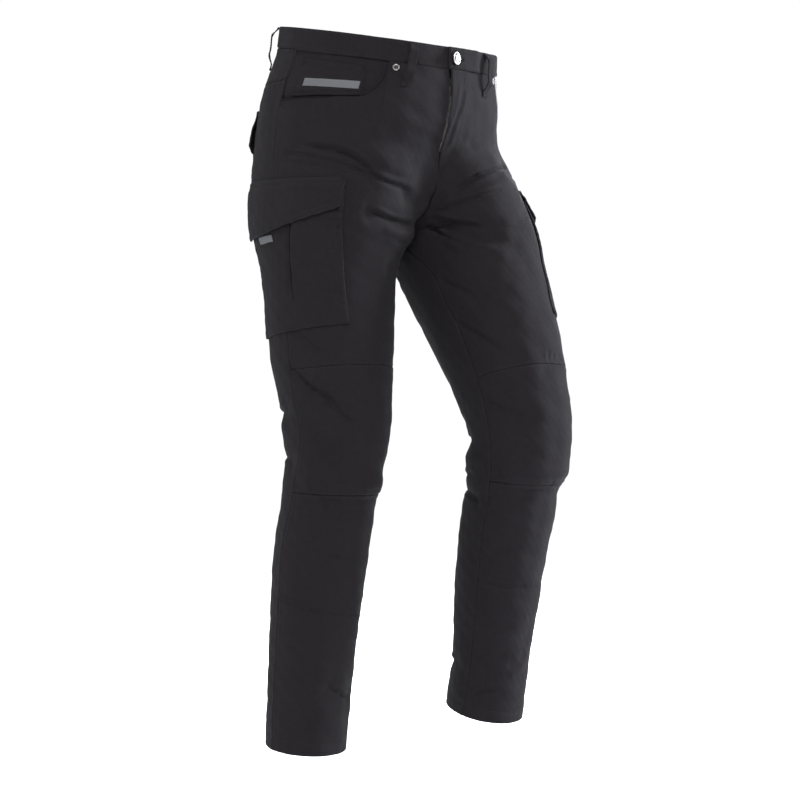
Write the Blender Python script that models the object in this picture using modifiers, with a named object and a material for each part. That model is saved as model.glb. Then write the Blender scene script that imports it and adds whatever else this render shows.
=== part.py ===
"""Motorcycle trousers, filled out with no wearer, standing in a short stride.

Frame: the origin is the middle of the waist, halfway down the waistband. +Z is up, the front faces -Y
and the wearer's left is +X. All sizes are in metres and all angles in the tables are in degrees.

Each half of the garment is a row of rounded sections. An angle of 0 on a section points to the outer
side of the leg, 90 to the front, 180 to the other leg and -90 to the back.
"""
import math
from collections import namedtuple

import bpy
import numpy as np
from mathutils import Vector

for old in list(bpy.data.objects):
    bpy.data.objects.remove(old, do_unlink=True)

# Driving sizes
CLOTH = 0.0016
SEAM_GAP = 0.0003
LAYER_GAP = 0.0003
PATCH_GAP = 0.0009
BAND_TOP = 0.020
BAND_SEAM = -0.010
BAND_CLOTH = 0.0026
BAND_LIFT = 0.0008
BAND_LAP_LIFT = 0.0034
BAND_END = 0.016
BAND_TONGUE = 0.030
CROTCH = -0.252
FLY_LAP = 0.012
FLY_GAPE = 0.0045
ROUNDNESS = 2.15
GROIN_DEEP = 0.030
GROIN_X = -0.015
GROIN_WIDE = 0.055
RIGHT, LEFT = -1, 1

Section = namedtuple("Section", "name z outer inner middle front back lean side_seam inseam")

HIPS = [
    Section("waist top", 0.022, 0.1605, -0.1605, 0.000, 0.137, 0.137, 0.19, -5, 180),
    Section("waist seam", -0.018, 0.1640, -0.1640, 0.004, 0.141, 0.140, 0.19, -5, 180),
    Section("yoke", -0.060, 0.1735, -0.1735, 0.014, 0.149, 0.148, 0.17, -5, 180),
]
RIGHT_LEG = [
    Section("hip", -0.110, 0.1800, -0.1720, 0.020, 0.148, 0.156, 0.11, -5, 180),
    Section("seat", -0.165, 0.1840, -0.1250, 0.022, 0.146, 0.153, 0.05, -5, 180),
    Section("fork", -0.215, 0.1860, -0.0480, 0.022, 0.132, 0.136, 0.01, -5, 180),
    Section("crotch", CROTCH, 0.1870, 0.0003, 0.020, 0.118, 0.122, 0.00, -4, 180),
    Section("thigh", -0.330, 0.1840, 0.0100, 0.016, 0.093, 0.095, -0.04, 0, 172),
    Section("low thigh", -0.430, 0.1830, 0.0170, 0.010, 0.086, 0.084, -0.10, 3, 168),
    Section("knee top", -0.475, 0.1790, 0.0230, 0.004, 0.082, 0.078, -0.08, 1, 168),
    Section("knee", -0.545, 0.1770, 0.0330, -0.005, 0.074, 0.070, 0.00, 6, 172),
    Section("knee base", -0.620, 0.1750, 0.0450, 0.002, 0.066, 0.065, 0.06, -3, 166),
    Section("calf", -0.700, 0.1780, 0.0500, 0.015, 0.064, 0.066, 0.10, -8, 164),
    Section("shin", -0.790, 0.1810, 0.0590, 0.022, 0.061, 0.062, 0.11, -8, 166),
    Section("low shin", -0.880, 0.1830, 0.0670, 0.027, 0.058, 0.058, 0.11, -8, 168),
    Section("hem", -0.978, 0.1840, 0.0740, 0.033, 0.055, 0.055, 0.11, -7, 170),
]
LEFT_LEG = [
    Section("hip", -0.110, 0.1800, -0.1720, 0.020, 0.148, 0.156, 0.11, -5, 180),
    Section("seat", -0.165, 0.1890, -0.1250, 0.002, 0.146, 0.158, 0.05, -5, 180),
    Section("fork", -0.215, 0.1920, -0.0480, -0.022, 0.132, 0.148, 0.01, -5, 180),
    Section("crotch", CROTCH, 0.1930, 0.0003, -0.040, 0.122, 0.130, 0.00, -4, 180),
    Section("thigh", -0.330, 0.1900, 0.0120, -0.074, 0.102, 0.104, -0.22, 0, 174),
    Section("low thigh", -0.430, 0.1840, 0.0260, -0.122, 0.085, 0.085, -0.32, 3, 172),
    Section("knee top", -0.475, 0.1800, 0.0330, -0.140, 0.078, 0.080, -0.26, 1, 174),
    Section("knee", -0.545, 0.1805, 0.0380, -0.154, 0.072, 0.073, -0.04, 6, 172),
    Section("knee base", -0.620, 0.1775, 0.0480, -0.136, 0.064, 0.067, 0.14, -3, 167),
    Section("calf", -0.700, 0.1815, 0.0590, -0.111, 0.061, 0.065, 0.22, -8, 168),
    Section("shin", -0.780, 0.1860, 0.0700, -0.089, 0.059, 0.060, 0.24, -8, 166),
    Section("low shin", -0.860, 0.1880, 0.0800, -0.072, 0.055, 0.055, 0.24, -8, 168),
    Section("hem", -0.944, 0.1910, 0.0830, -0.056, 0.054, 0.054, 0.24, -7, 170),
]

Seams = namedtuple("Seams", "knee_top knee_base hem")
SEAMS = {RIGHT: Seams(-0.452, -0.620, -0.978), LEFT: Seams(-0.464, -0.604, -0.944)}

# A fold runs from one place (z, angle) to another. A height over 0 is a ridge, under 0 a trough.
Fold = namedtuple("Fold", "side z angle end_z end_angle width height")
FOLDS = [
    # Whiskers across the right hip
    Fold(RIGHT, -0.141, 14, -0.172, 54, 0.011, -0.0032),
    Fold(RIGHT, -0.172, 54, -0.208, 92, 0.010, -0.0035),
    Fold(RIGHT, -0.128, 26, -0.160, 62, 0.012, 0.0022),
    Fold(RIGHT, -0.157, 6, -0.186, 56, 0.010, -0.0024),
    # Crotch creases
    Fold(RIGHT, -0.240, 70, -0.252, 118, 0.010, -0.0045),
    Fold(RIGHT, -0.262, 96, -0.266, 138, 0.011, 0.0030),
    Fold(LEFT, -0.153, 55, -0.196, 104, 0.012, -0.0038),
    Fold(LEFT, -0.172, 66, -0.214, 120, 0.011, 0.0035),
    Fold(LEFT, -0.247, 106, -0.250, 150, 0.010, -0.0035),
    Fold(LEFT, -0.255, 140, -0.282, 98, 0.011, -0.0032),
    Fold(LEFT, -0.268, 140, -0.300, 112, 0.011, 0.0026),
    Fold(LEFT, -0.332, 164, -0.366, 142, 0.012, -0.0026),
    Fold(LEFT, -0.388, 168, -0.446, 134, 0.013, -0.0026),
    # Right knee: the deep diagonal, then the hollow beside the kneecap
    Fold(RIGHT, -0.452, 6, -0.496, 42, 0.010, -0.0042),
    Fold(RIGHT, -0.496, 42, -0.520, 58, 0.011, -0.0026),
    Fold(RIGHT, -0.466, 30, -0.500, 66, 0.013, 0.0024),
    Fold(RIGHT, -0.404, 16, -0.436, 42, 0.012, -0.0024),
    Fold(RIGHT, -0.528, 20, -0.576, 46, 0.015, -0.0030),
    Fold(RIGHT, -0.602, 24, -0.604, 130, 0.017, 0.0040),
    Fold(RIGHT, -0.636, 24, -0.640, 128, 0.012, -0.0026),
    # Left knee: gathers above, the overhang below
    Fold(LEFT, -0.456, 70, -0.470, 98, 0.010, -0.0024),
    Fold(LEFT, -0.496, 166, -0.526, 126, 0.014, -0.0026),
    Fold(LEFT, -0.586, 40, -0.588, 140, 0.018, 0.0048),
    Fold(LEFT, -0.619, 36, -0.622, 140, 0.012, -0.0030),
    # Behind the knees
    Fold(RIGHT, -0.505, -18, -0.520, -84, 0.012, -0.0040),
    Fold(RIGHT, -0.528, -30, -0.546, -120, 0.013, 0.0030),
    Fold(RIGHT, -0.578, -14, -0.566, -96, 0.012, -0.0038),
    Fold(LEFT, -0.545, -142, -0.556, -60, 0.012, -0.0055),
    Fold(LEFT, -0.575, -158, -0.590, -70, 0.012, 0.0035),
    Fold(LEFT, -0.634, -172, -0.622, -96, 0.012, -0.0042),
    # Under the seat
    Fold(RIGHT, -0.262, -150, -0.284, -84, 0.013, -0.0040),
    Fold(RIGHT, -0.306, -142, -0.318, -92, 0.013, -0.0026),
    Fold(LEFT, -0.268, -148, -0.272, -86, 0.012, -0.0032),
    # Lower legs
    Fold(RIGHT, -0.694, 52, -0.706, 84, 0.010, -0.0022),
    Fold(RIGHT, -0.884, 76, -0.900, 118, 0.012, -0.0036),
    Fold(LEFT, -0.822, 78, -0.838, 116, 0.016, -0.0026),
    Fold(LEFT, -0.872, -160, -0.886, -108, 0.013, -0.0028),
]


def curve_through(heights, values, z):
    """A smooth curve through the rows that never swings past them. Heights fall down the garment."""
    place = -np.asarray(heights, float)
    value = np.asarray(values, float)
    step = np.diff(place)
    slope = np.diff(value) / step
    tangent = np.zeros(len(place))
    tangent[0], tangent[-1] = slope[0], slope[-1]
    for i in range(1, len(place) - 1):
        if slope[i - 1] * slope[i] > 0:
            before = 2 * step[i] + step[i - 1]
            after = step[i] + 2 * step[i - 1]
            tangent[i] = (before + after) / (before / slope[i - 1] + after / slope[i])
    at = np.clip(-np.asarray(z, float), place[0] - 0.05, place[-1] + 0.05)
    i = np.clip(np.searchsorted(place, at, side="right") - 1, 0, len(place) - 2)
    t = (at - place[i]) / step[i]
    inside = (
        (2 * t**3 - 3 * t**2 + 1) * value[i]
        + (t**3 - 2 * t**2 + t) * step[i] * tangent[i]
        + (-2 * t**3 + 3 * t**2) * value[i + 1]
        + (t**3 - t**2) * step[i] * tangent[i + 1]
    )
    over = value[-1] + (at - place[-1]) * tangent[-1]
    under = value[0] + (at - place[0]) * tangent[0]
    return np.where(at > place[-1], over, np.where(at < place[0], under, inside))


def ease(start, end, at):
    """0 before start, 1 after end, with a soft run between them."""
    t = np.clip((np.asarray(at, float) - start) / (end - start), 0.0, 1.0)
    return t * t * (3.0 - 2.0 * t)


class Half:
    """One side of the garment: its sections, its seam lines and its outer cloth surface."""

    def __init__(self, side, leg):
        self.side = side
        self.rows = HIPS + leg
        self.heights = [row.z for row in self.rows]
        self.seams = SEAMS[side]
        self.other = None
        self.folds = []

    def read(self, column, z):
        return curve_through(self.heights, [getattr(row, column) for row in self.rows], z)

    def reach(self, z):
        """Half the width of a section, and how far out its middle is."""
        outer, inner = self.read("outer", z), self.read("inner", z)
        return (outer - inner) / 2, (outer + inner) / 2

    def angle_at(self, z, x, front=True):
        """The angle at which the section passes a distance x outward of the garment's middle."""
        half_width, middle = self.reach(z)
        share = np.clip((x - middle) / half_width, -1.0, 1.0)
        rise = (1.0 - np.abs(share) ** ROUNDNESS) ** (1.0 / ROUNDNESS)
        angle = np.degrees(np.arctan2(rise, share))
        return angle if front else -angle

    def front_angle(self, z):
        """Where the front panel ends: the fly, the crotch curve, then the inseam."""
        lap = -self.side * FLY_LAP * (1.0 - ease(-0.100, -0.200, z))
        return np.where(z > CROTCH, self.angle_at(z, lap), self.read("inseam", z))

    def back_angle(self, z):
        return np.where(z > CROTCH, self.angle_at(z, 0.0, front=False), self.read("inseam", z) - 360.0)

    def side_angle(self, z):
        return self.read("side_seam", z)

    def middle_y(self, z, front):
        """Where the section crosses the garment's middle, front or back."""
        angle = np.radians(self.angle_at(z, 0.0))
        depth = self.read("front", z) if front else -self.read("back", z)
        return self.read("middle", z) - depth * self.round(angle) * np.sin(angle)

    @staticmethod
    def round(angle):
        return (np.abs(np.cos(angle)) ** ROUNDNESS + np.abs(np.sin(angle)) ** ROUNDNESS) ** (-1.0 / ROUNDNESS)

    def bare(self, z, degrees):
        """The surface without folds."""
        z = np.asarray(z, float)
        angle = np.radians(degrees)
        half_width, out = self.reach(z)
        front = np.sin(angle) > 0
        depth = np.where(front, self.read("front", z), self.read("back", z))
        radius = self.round(angle)
        x = out + half_width * radius * np.cos(angle)
        y = self.read("middle", z) - depth * radius * np.sin(angle)
        if self.other is not None:
            near = np.clip(1.0 - np.abs(x) / 0.090, 0.0, 1.0) ** 2
            near = near * (1.0 - ease(CROTCH, CROTCH - 0.070, z))
            shift_front = (self.other.middle_y(z, True) - self.middle_y(z, True)) / 2
            shift_back = (self.other.middle_y(z, False) - self.middle_y(z, False)) / 2
            forward = 0.5 + 0.5 * np.sin(angle)
            y = y + near * (shift_front * forward + shift_back * (1.0 - forward))
        # The cloth falls back beside the fly, since the stride draws it towards the right thigh
        groin = GROIN_DEEP * ease(-0.085, -0.185, z) * (1.0 - ease(-0.205, -0.262, z))
        aside = (self.side * x - GROIN_X) / GROIN_WIDE
        y = y + groin * np.exp(-aside**2) * np.clip(2.0 * np.sin(angle), 0.0, 1.0)
        height = z + self.read("lean", z) * (y - self.read("middle", z))
        return np.stack(np.broadcast_arrays(self.side * x, y, height), -1)

    def normal(self, surface, z, degrees):
        down = surface(z - 0.0008, degrees) - surface(z + 0.0008, degrees)
        round_ = surface(z, degrees + 0.25) - surface(z, degrees - 0.25)
        out = np.cross(round_, down) * self.side
        return out / np.linalg.norm(out, axis=-1, keepdims=True)

    def fold_path(self, fold):
        """A fold as a line of places on the bare surface, with its width and height."""
        t = np.linspace(0.0, 1.0, 7)
        z = fold.z + (fold.end_z - fold.z) * t
        degrees = fold.angle + (fold.end_angle - fold.angle) * t
        return self.bare(z, degrees), fold.width, fold.height

    def folded(self, z, degrees):
        """The outer surface with its folds: each falls off softly to the sides and at its ends."""
        z = np.asarray(z, float) + 0.0 * np.asarray(degrees, float)
        points = self.bare(z, degrees)
        height = np.zeros(points.shape[:-1])
        for path, width, rise in self.folds:
            nearest = np.full(height.shape, 9.0)
            for a, b in zip(path[:-1], path[1:]):
                along = b - a
                t = np.clip(((points - a) @ along) / (along @ along), 0.0, 1.0)
                gap = points - (a + t[..., None] * along)
                nearest = np.minimum(nearest, np.linalg.norm(gap, axis=-1))
            height += rise * np.exp(-((nearest / width) ** 2))
        beside_middle = np.clip(np.abs(points[..., 0]) / 0.015, 0.0, 1.0)
        height *= np.where(z > CROTCH - 0.03, beside_middle, 1.0)
        return points + self.normal(self.bare, z, degrees) * height[..., None]

    def surface(self, z, degrees, lift=0.0):
        """Points on the outer cloth, moved out by lift."""
        z = np.asarray(z, float) + 0.0 * np.asarray(degrees, float)
        degrees = np.asarray(degrees, float) + 0.0 * z
        lift = np.asarray(lift, float) + 0.0 * z
        return self.folded(z, degrees) + self.normal(self.folded, z, degrees) * lift[..., None]


# Build the pieces
Finish = namedtuple("Finish", "name colour roughness metallic")
SHELL = Finish("charcoal stretch twill", (0.028, 0.026, 0.030), 0.88, 0.0)
TRIM = Finish("grey woven strip", (0.16, 0.16, 0.17), 0.75, 0.0)
TAPE = Finish("black zip tape", (0.015, 0.015, 0.017), 0.80, 0.0)
METAL = Finish("dark nickel", (0.32, 0.31, 0.30), 0.35, 1.0)


def collection(name):
    new = bpy.data.collections.new(name)
    bpy.context.scene.collection.children.link(new)
    return new


def paint(thing, finish):
    """Gives an object a material of its own."""
    material = bpy.data.materials.new(f"{thing.name} {finish.name}")
    material.use_nodes = True
    shader = material.node_tree.nodes["Principled BSDF"]
    shader.inputs["Base Color"].default_value = (*finish.colour, 1.0)
    shader.inputs["Roughness"].default_value = finish.roughness
    shader.inputs["Metallic"].default_value = finish.metallic
    thing.data.materials.append(material)


def cloth(name, half, z, angle, lift=0.0, thickness=CLOTH, finish=SHELL):
    """A wall of cloth: its outer and its inner face, both worked out from the garment, and a rim."""
    outer = half.surface(z, angle, lift)
    inner = half.surface(z, angle, lift - thickness)
    rows, columns = outer.shape[:2]
    grid = np.arange(rows * columns).reshape(rows, columns)
    under = grid + grid.size
    edge = list(grid[0]) + list(grid[1:, -1]) + list(grid[-1, -2::-1]) + list(grid[-2:0:-1, 0])
    faces = []
    for i in range(rows - 1):
        for j in range(columns - 1):
            faces.append((grid[i, j], grid[i, j + 1], grid[i + 1, j + 1], grid[i + 1, j]))
            faces.append((under[i, j], under[i + 1, j], under[i + 1, j + 1], under[i, j + 1]))
    for a, b in zip(edge, edge[1:] + edge[:1]):
        faces.append((a, a + grid.size, b + grid.size, b))
    across = outer[0, 1] - outer[0, 0]
    down = outer[1, 0] - outer[0, 0]
    if np.cross(across, down) @ (outer[0, 0] - inner[0, 0]) < 0:
        faces = [face[::-1] for face in faces]
    mesh = bpy.data.meshes.new(name)
    points = np.concatenate([outer.reshape(-1, 3), inner.reshape(-1, 3)])
    mesh.from_pydata(points.tolist(), [], [tuple(map(int, face)) for face in faces])
    piece = bpy.data.objects.new(name, mesh)
    GARMENT.objects.link(piece)
    mesh.shade_smooth()
    mesh.set_sharp_from_angle(angle=math.radians(50))
    paint(piece, finish)
    return piece


def inset(half, z, angle, gap=SEAM_GAP / 2):
    """Draws all four edges in by half a seam's gap."""
    z = z + 0.0 * angle
    angle = angle + 0.0 * z
    z[0] -= gap
    z[-1] += gap
    pace = np.linalg.norm(half.bare(z, angle + 0.5) - half.bare(z, angle - 0.5), axis=-1)
    inward = np.sign(angle[:, -1] - angle[:, 0])
    angle[:, 0] += inward * gap / pace[:, 0]
    angle[:, -1] -= inward * gap / pace[:, -1]
    return z, angle


def stations(start, end, step):
    return np.linspace(start, end, max(2, round((start - end) / step) + 1))


# Cut lines. Below LEVEL the front and the back share their rows.
LEVEL = -0.090
ROW_STEP = 0.024
HIP_STEP = 0.0135
FLY_BASE = -0.172
SCOOP_SIDE = -0.078
SCOOP_FRONT = -0.065
SCOOP_TURN = 38.0
SCOOP_END = 52.5
YOKE_SIDE = -0.052
YOKE_BACK = -0.084
FACING_END = 60.0
FACING_DEEP = 0.012
FACING_CLOTH = 0.0012


def scoop_line(turns=3):
    """The pocket mouth as (angle, z) places: nearly level from the side seam, then a quarter round."""
    level = [(angle, SCOOP_SIDE + (SCOOP_FRONT - SCOOP_SIDE) * (angle + 5.0) / (SCOOP_TURN + 5.0))
             for angle in (-5.0, 6.0, 17.0, 28.0, SCOOP_TURN)]
    curve = []
    for i in range(1, turns + 1):
        t = math.pi / 2 * i / turns
        curve.append((SCOOP_TURN + (SCOOP_END - SCOOP_TURN) * math.sin(t),
                      SCOOP_FRONT + (BAND_SEAM - SCOOP_FRONT) * (1.0 - math.cos(t))))
    return level + curve


def fly_gape(half, z, angle):
    """The left front stands off along the fly, most of all below the waistband."""
    if half.side == RIGHT:
        return 0.0 * (z + angle)
    reach = ease(75.0, 93.0, angle)
    fall = 1.0 - ease(-0.050, -0.185, z)
    return FLY_GAPE * reach * fall


def front_panel(half, name):
    mouth = scoop_line()
    last = float(half.front_angle(BAND_SEAM))
    top = mouth + [(angle, BAND_SEAM) for angle in (60.0, 68.0, 75.0, 81.0, (81.0 + last) / 2, last)]
    start = float(half.side_angle(LEVEL))
    shares = np.array([(angle - start) / (last - start) for angle, _ in top])
    shares[0] = 0.0
    tops = np.array([z for _, z in top])
    upper = [tops + (LEVEL - tops) * t for t in (0.0, 0.3, 0.65)]
    lower = [np.full(len(top), z) for z in body_rows(half, LEVEL, half.seams.knee_top)]
    z = np.array(upper + lower)
    first = half.side_angle(z)
    angle = first + (half.front_angle(z) - first) * shares
    for i in range(len(upper)):
        weight = (1.0 - i / len(upper))
        angle[i] = weight * np.array([a for a, _ in top]) + (1 - weight) * angle[i]
    z, angle = inset(half, z, angle)
    return cloth(name, half, z, angle, fly_gape(half, z, angle))


def body_rows(half, start, end):
    """Levels shared by the front and the back, so that their side seams match."""
    marks = [LEVEL, CROTCH, half.seams.knee_top, half.seams.knee_base, half.seams.hem]
    rows = []
    for a, b in zip(marks[:-1], marks[1:]):
        step = HIP_STEP if a == LEVEL else ROW_STEP
        rows += list(stations(a, b, step))[:-1]
    rows.append(marks[-1])
    return [z for z in rows if end - 1e-6 <= z <= start + 1e-6]


def leg_panel(half, name, start, end, columns=11):
    z = np.array(body_rows(half, start, end))[:, None]
    share = np.linspace(0.0, 1.0, columns)[None, :]
    first = half.side_angle(z)
    z, angle = inset(half, z, first + (half.front_angle(z) - first) * share)
    return cloth(name, half, z, angle)


def yoke_line(share):
    return YOKE_SIDE + (YOKE_BACK - YOKE_SIDE) * share


def back_panel(half, name, columns=13):
    share = np.linspace(0.0, 1.0, columns)
    top = yoke_line(share)
    rows = [top, (top + LEVEL) / 2] + [np.full(columns, z) for z in body_rows(half, LEVEL, half.seams.hem)]
    z = np.array(rows)
    first = half.side_angle(z)
    z, angle = inset(half, z, first + (half.back_angle(z) - first) * share)
    return cloth(name, half, z, angle)


def yoke(half, name, columns=13):
    share = np.linspace(0.0, 1.0, columns)
    z = np.array([BAND_SEAM + (yoke_line(share) - BAND_SEAM) * t for t in (0.0, 0.22, 0.45, 0.72, 1.0)])
    first = half.side_angle(z)
    z, angle = inset(half, z, first + (half.back_angle(z) - first) * share)
    return cloth(name, half, z, angle)


UNDER = -(CLOTH + PATCH_GAP)


def pocket_facing(half, name):
    """The cloth that shows inside the pocket mouth, running a little way down behind its edge."""
    angle = np.array([angle for angle, _ in scoop_line()] + [FACING_END])[None, :]
    deep = np.interp(angle, [-5.0, SCOOP_TURN, FACING_END],
                     [SCOOP_SIDE - FACING_DEEP, SCOOP_FRONT - FACING_DEEP, SCOOP_FRONT + FACING_DEEP])
    z = BAND_SEAM + (deep - BAND_SEAM) * np.linspace(0.0, 1.0, 5)[:, None]
    z, angle = inset(half, z, angle + 0 * z)
    return cloth(name, half, z, angle, UNDER, FACING_CLOTH)


COIN_CLOTH = 0.0009
COIN_TOP = -0.0205
COIN_MARGIN = 0.0022
COIN_SIDE, COIN_FRONT = 3.0, 41.5
COIN_LIFT = UNDER + 2 * LAYER_GAP + COIN_CLOTH
STRIP_CLOTH = 0.0003
STRIP_DEEP = 0.0108
STRIP_SIDE, STRIP_FRONT = 9.0, 40.0
STRIP_SIDE_TOP, STRIP_FRONT_TOP = -0.0465, -0.0425


def coin_pocket(half, name):
    """A small patch on the facing that ends behind the pocket mouth."""
    angle = np.linspace(COIN_SIDE, COIN_FRONT, 7)[None, :]
    mouth = scoop_line(9)
    bottom = np.interp(angle, [a for a, _ in mouth], [z for _, z in mouth]) + COIN_MARGIN
    z = COIN_TOP + (bottom - COIN_TOP) * np.linspace(0.0, 1.0, 4)[:, None]
    return cloth(name, half, z, angle + 0 * z, COIN_LIFT, COIN_CLOTH)


def coin_strip(half, name):
    """The bare woven strip across the coin pocket."""
    angle = np.linspace(STRIP_SIDE, STRIP_FRONT, 7)[None, :]
    top = np.interp(angle, [STRIP_SIDE, STRIP_FRONT], [STRIP_SIDE_TOP, STRIP_FRONT_TOP])
    z = top - STRIP_DEEP * np.linspace(0.0, 1.0, 2)[:, None]
    return cloth(name, half, z, angle + 0 * z, COIN_LIFT + LAYER_GAP + STRIP_CLOTH, STRIP_CLOTH, TRIM)


# Cargo pocket: its outline on the thigh, the pleat that runs down it, then its flap
CARGO_TOP = -0.205
CARGO_BASE = -0.396
CARGO_BACK = -42.0
CARGO_SLANT = 0.006
CARGO_ROW_STEP = 0.021
PLEAT = 14.0
PLEAT_FOLD = 1.4
CARGO_RISE = 0.0032
FLAP_TOP = -0.188
FLAP_FRONT = 48.5
FLAP_TOP_FRONT = 45.5
FLAP_OVERHANG = 2.0
FLAP_STAND_OFF = 0.0018
TAG_CLOTH = 0.0008


def cargo_front(z):
    """The pocket's front edge leans forward down the thigh."""
    return np.interp(-z, [-FLAP_TOP, 0.300, -CARGO_BASE], [43.0, 56.5, 64.0])


def cargo_lift(z, angle):
    """The pocket lies flat at its edges and swells towards the pleat, more on its front part."""
    down = ease(CARGO_TOP, -0.240, z) * (1.0 - ease(-0.355, CARGO_BASE, z))
    front = ease(64.0, 36.0, angle) * (angle > PLEAT)
    back = ease(CARGO_BACK, -8.0, angle) * (angle <= PLEAT)
    return PATCH_GAP + CLOTH + down * (CARGO_RISE * front + 0.4 * CARGO_RISE * back)


def cargo_pocket(half, name):
    top, base = CARGO_TOP, CARGO_BASE
    z = stations(top, base, CARGO_ROW_STEP)[:, None]
    back = np.array([CARGO_BACK, -32.0, -21.0, -10.0, 1.0, 11.0])
    pleat_side = PLEAT + PLEAT_FOLD
    share = np.array([0.0, 0.2, 0.45, 0.72, 1.0])
    front = pleat_side + (cargo_front(z) - pleat_side) * share
    angle = np.concatenate([np.broadcast_to(back, (len(z), len(back))), front], axis=1)
    drop = CARGO_SLANT * (angle - 60.0) / 100.0
    z = z + 0 * angle + drop * ((top - z) / (top - base))
    return cloth(name, half, z, angle, cargo_lift(z, angle))


def flap_base(angle):
    """The flap's lower edge is a slant from its short front edge to the deep rear one."""
    return np.interp(angle, [CARGO_BACK, -16.0, 15.0, 37.0, 47.0],
                     [-0.268, -0.2645, -0.2510, -0.2385, -0.2325])


def cargo_flap(half, name):
    share = np.linspace(0.0, 1.0, 10)[None, :]
    down = np.linspace(0.0, 1.0, 5)[:, None]
    rear = CARGO_BACK - FLAP_OVERHANG
    angle = rear + (FLAP_FRONT - CARGO_BACK) * share + 0 * down
    angle = angle - (FLAP_FRONT - FLAP_TOP_FRONT) * (1.0 - down) * share
    z = FLAP_TOP + (flap_base(angle) - FLAP_TOP) * down
    rise = ease(FLAP_TOP - 0.004, CARGO_TOP + 0.002, z)
    under = cargo_lift(np.minimum(z, CARGO_TOP), angle)
    lift = PATCH_GAP + CLOTH + rise * under
    return cloth(name, half, z, angle, lift + FLAP_STAND_OFF * down)


def cargo_tag(half, name):
    """A folded grey tag caught under the flap at the pocket's rear."""
    z = np.array([[-0.2660, -0.2655, -0.2650], [-0.2760, -0.2750, -0.2740]])
    angle = np.array([[-24.0, -15.0, -6.0], [-23.0, -14.0, -5.5]])
    return cloth(name, half, z, angle, cargo_lift(z, angle) + LAYER_GAP + TAG_CLOTH, TAG_CLOTH, TRIM)


BackPocket = namedtuple("BackPocket", "inner outer top base point taper swell")
BACK_POCKET = BackPocket(-80.0, -41.0, -0.118, -0.230, 0.014, 11.0, 0.0015)
BackFlap = namedtuple("BackFlap", "inset top slant deep point stand_off")
BACK_FLAP = BackFlap(1.5, -0.094, 0.006, 0.046, 0.010, 0.0022)


def back_pocket(half, name):
    """A patch pocket with a shallow point at its base."""
    share = np.linspace(0.0, 1.0, 7)[None, :]
    down = np.linspace(0.0, 1.0, 6)[:, None]
    angle = BACK_POCKET.outer + (BACK_POCKET.inner - BACK_POCKET.outer) * share
    angle = angle - BACK_POCKET.taper * down * (1.0 - share)
    base = BACK_POCKET.base - BACK_POCKET.point * (1.0 - np.abs(2.0 * share - 1.0))
    z = BACK_POCKET.top + (base - BACK_POCKET.top) * down
    swell = BACK_POCKET.swell * np.sin(math.pi * share) * ease(0.0, 0.3, down) * (1.0 - ease(0.7, 1.0, down))
    return cloth(name, half, z, angle + 0 * z, PATCH_GAP + CLOTH + swell)


def back_flap(half, name):
    """The flap over a back pocket, its free edge standing off."""
    share = np.linspace(0.0, 1.0, 7)[None, :]
    down = np.linspace(0.0, 1.0, 4)[:, None]
    start = BACK_POCKET.outer + BACK_FLAP.inset
    end = BACK_POCKET.inner - BACK_FLAP.inset
    angle = start + (end - start) * share
    top = BACK_FLAP.top - BACK_FLAP.slant * share
    base = top - BACK_FLAP.deep - BACK_FLAP.point * (1.0 - np.abs(2.0 * share - 1.0))
    z = top + (base - top) * down
    over = ease(BACK_FLAP.top - BACK_FLAP.slant, BACK_POCKET.top + 0.002, z)
    lift = PATCH_GAP + CLOTH + over * (CLOTH + BACK_FLAP.stand_off) + BACK_FLAP.stand_off * down**2
    return cloth(name, half, z, angle + 0 * z, lift)


def waistband(left):
    """One strip all round: its left end laps over the right end at the front."""
    start = float(left.angle_at(0.0, -BAND_END))
    end = float(left.angle_at(0.0, BAND_TONGUE)) - 360.0
    angle = np.concatenate([np.linspace(start, 70.0, 7), np.linspace(70.0, end, 43)[1:]])[None, :]
    z = np.linspace(BAND_TOP, BAND_SEAM + SEAM_GAP, 3)[:, None]
    lift = BAND_LIFT + BAND_LAP_LIFT * ease(70.5, 77.5, angle)
    return cloth("waistband", left, z, angle + 0 * z, lift + 0 * z, BAND_CLOTH)


SHIELD_CLOTH = 0.0012
SHIELD_SINK = 0.0016
FLY_FACING_CLOTH = 0.0009
FLY_FACING_DROP = 0.0010
TAPE_CLOTH = 0.0009
CHAIN_RISE = 0.0009
TAPE_BASE = -0.150
SLIDER_TOP, SLIDER_BASE = -0.023, -0.033
SLIDER_LIFT = 0.0014
SLIDER_THICK = 0.0027


def fly_shield(right, name):
    """The guard behind the zip, sewn to the right front."""
    x = np.array([0.034, 0.022, 0.012, 0.000, -0.012])[None, :]
    z = np.linspace(BAND_SEAM, FLY_BASE, 14)[:, None]
    z = z - SEAM_GAP
    angle = right.angle_at(z + 0 * x, x + 0 * z)
    sink = ease(0.033, 0.022, x)
    return cloth(name, right, z, angle, UNDER - SHIELD_SINK * sink + 0 * z, SHIELD_CLOTH)


def fly_facing(left, name):
    """The facing behind the left front's fly edge, rising with it."""
    x = np.array([0.0006, 0.012, 0.024, 0.034])[None, :]
    z = np.linspace(BAND_SEAM, FLY_BASE, 14)[:, None] - SEAM_GAP
    angle = left.angle_at(z + 0 * x, x + 0 * z)
    lift = UNDER - FLY_FACING_DROP + fly_gape(left, z + 0 * x, angle)
    return cloth(name, left, z, angle, lift, FLY_FACING_CLOTH)


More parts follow.
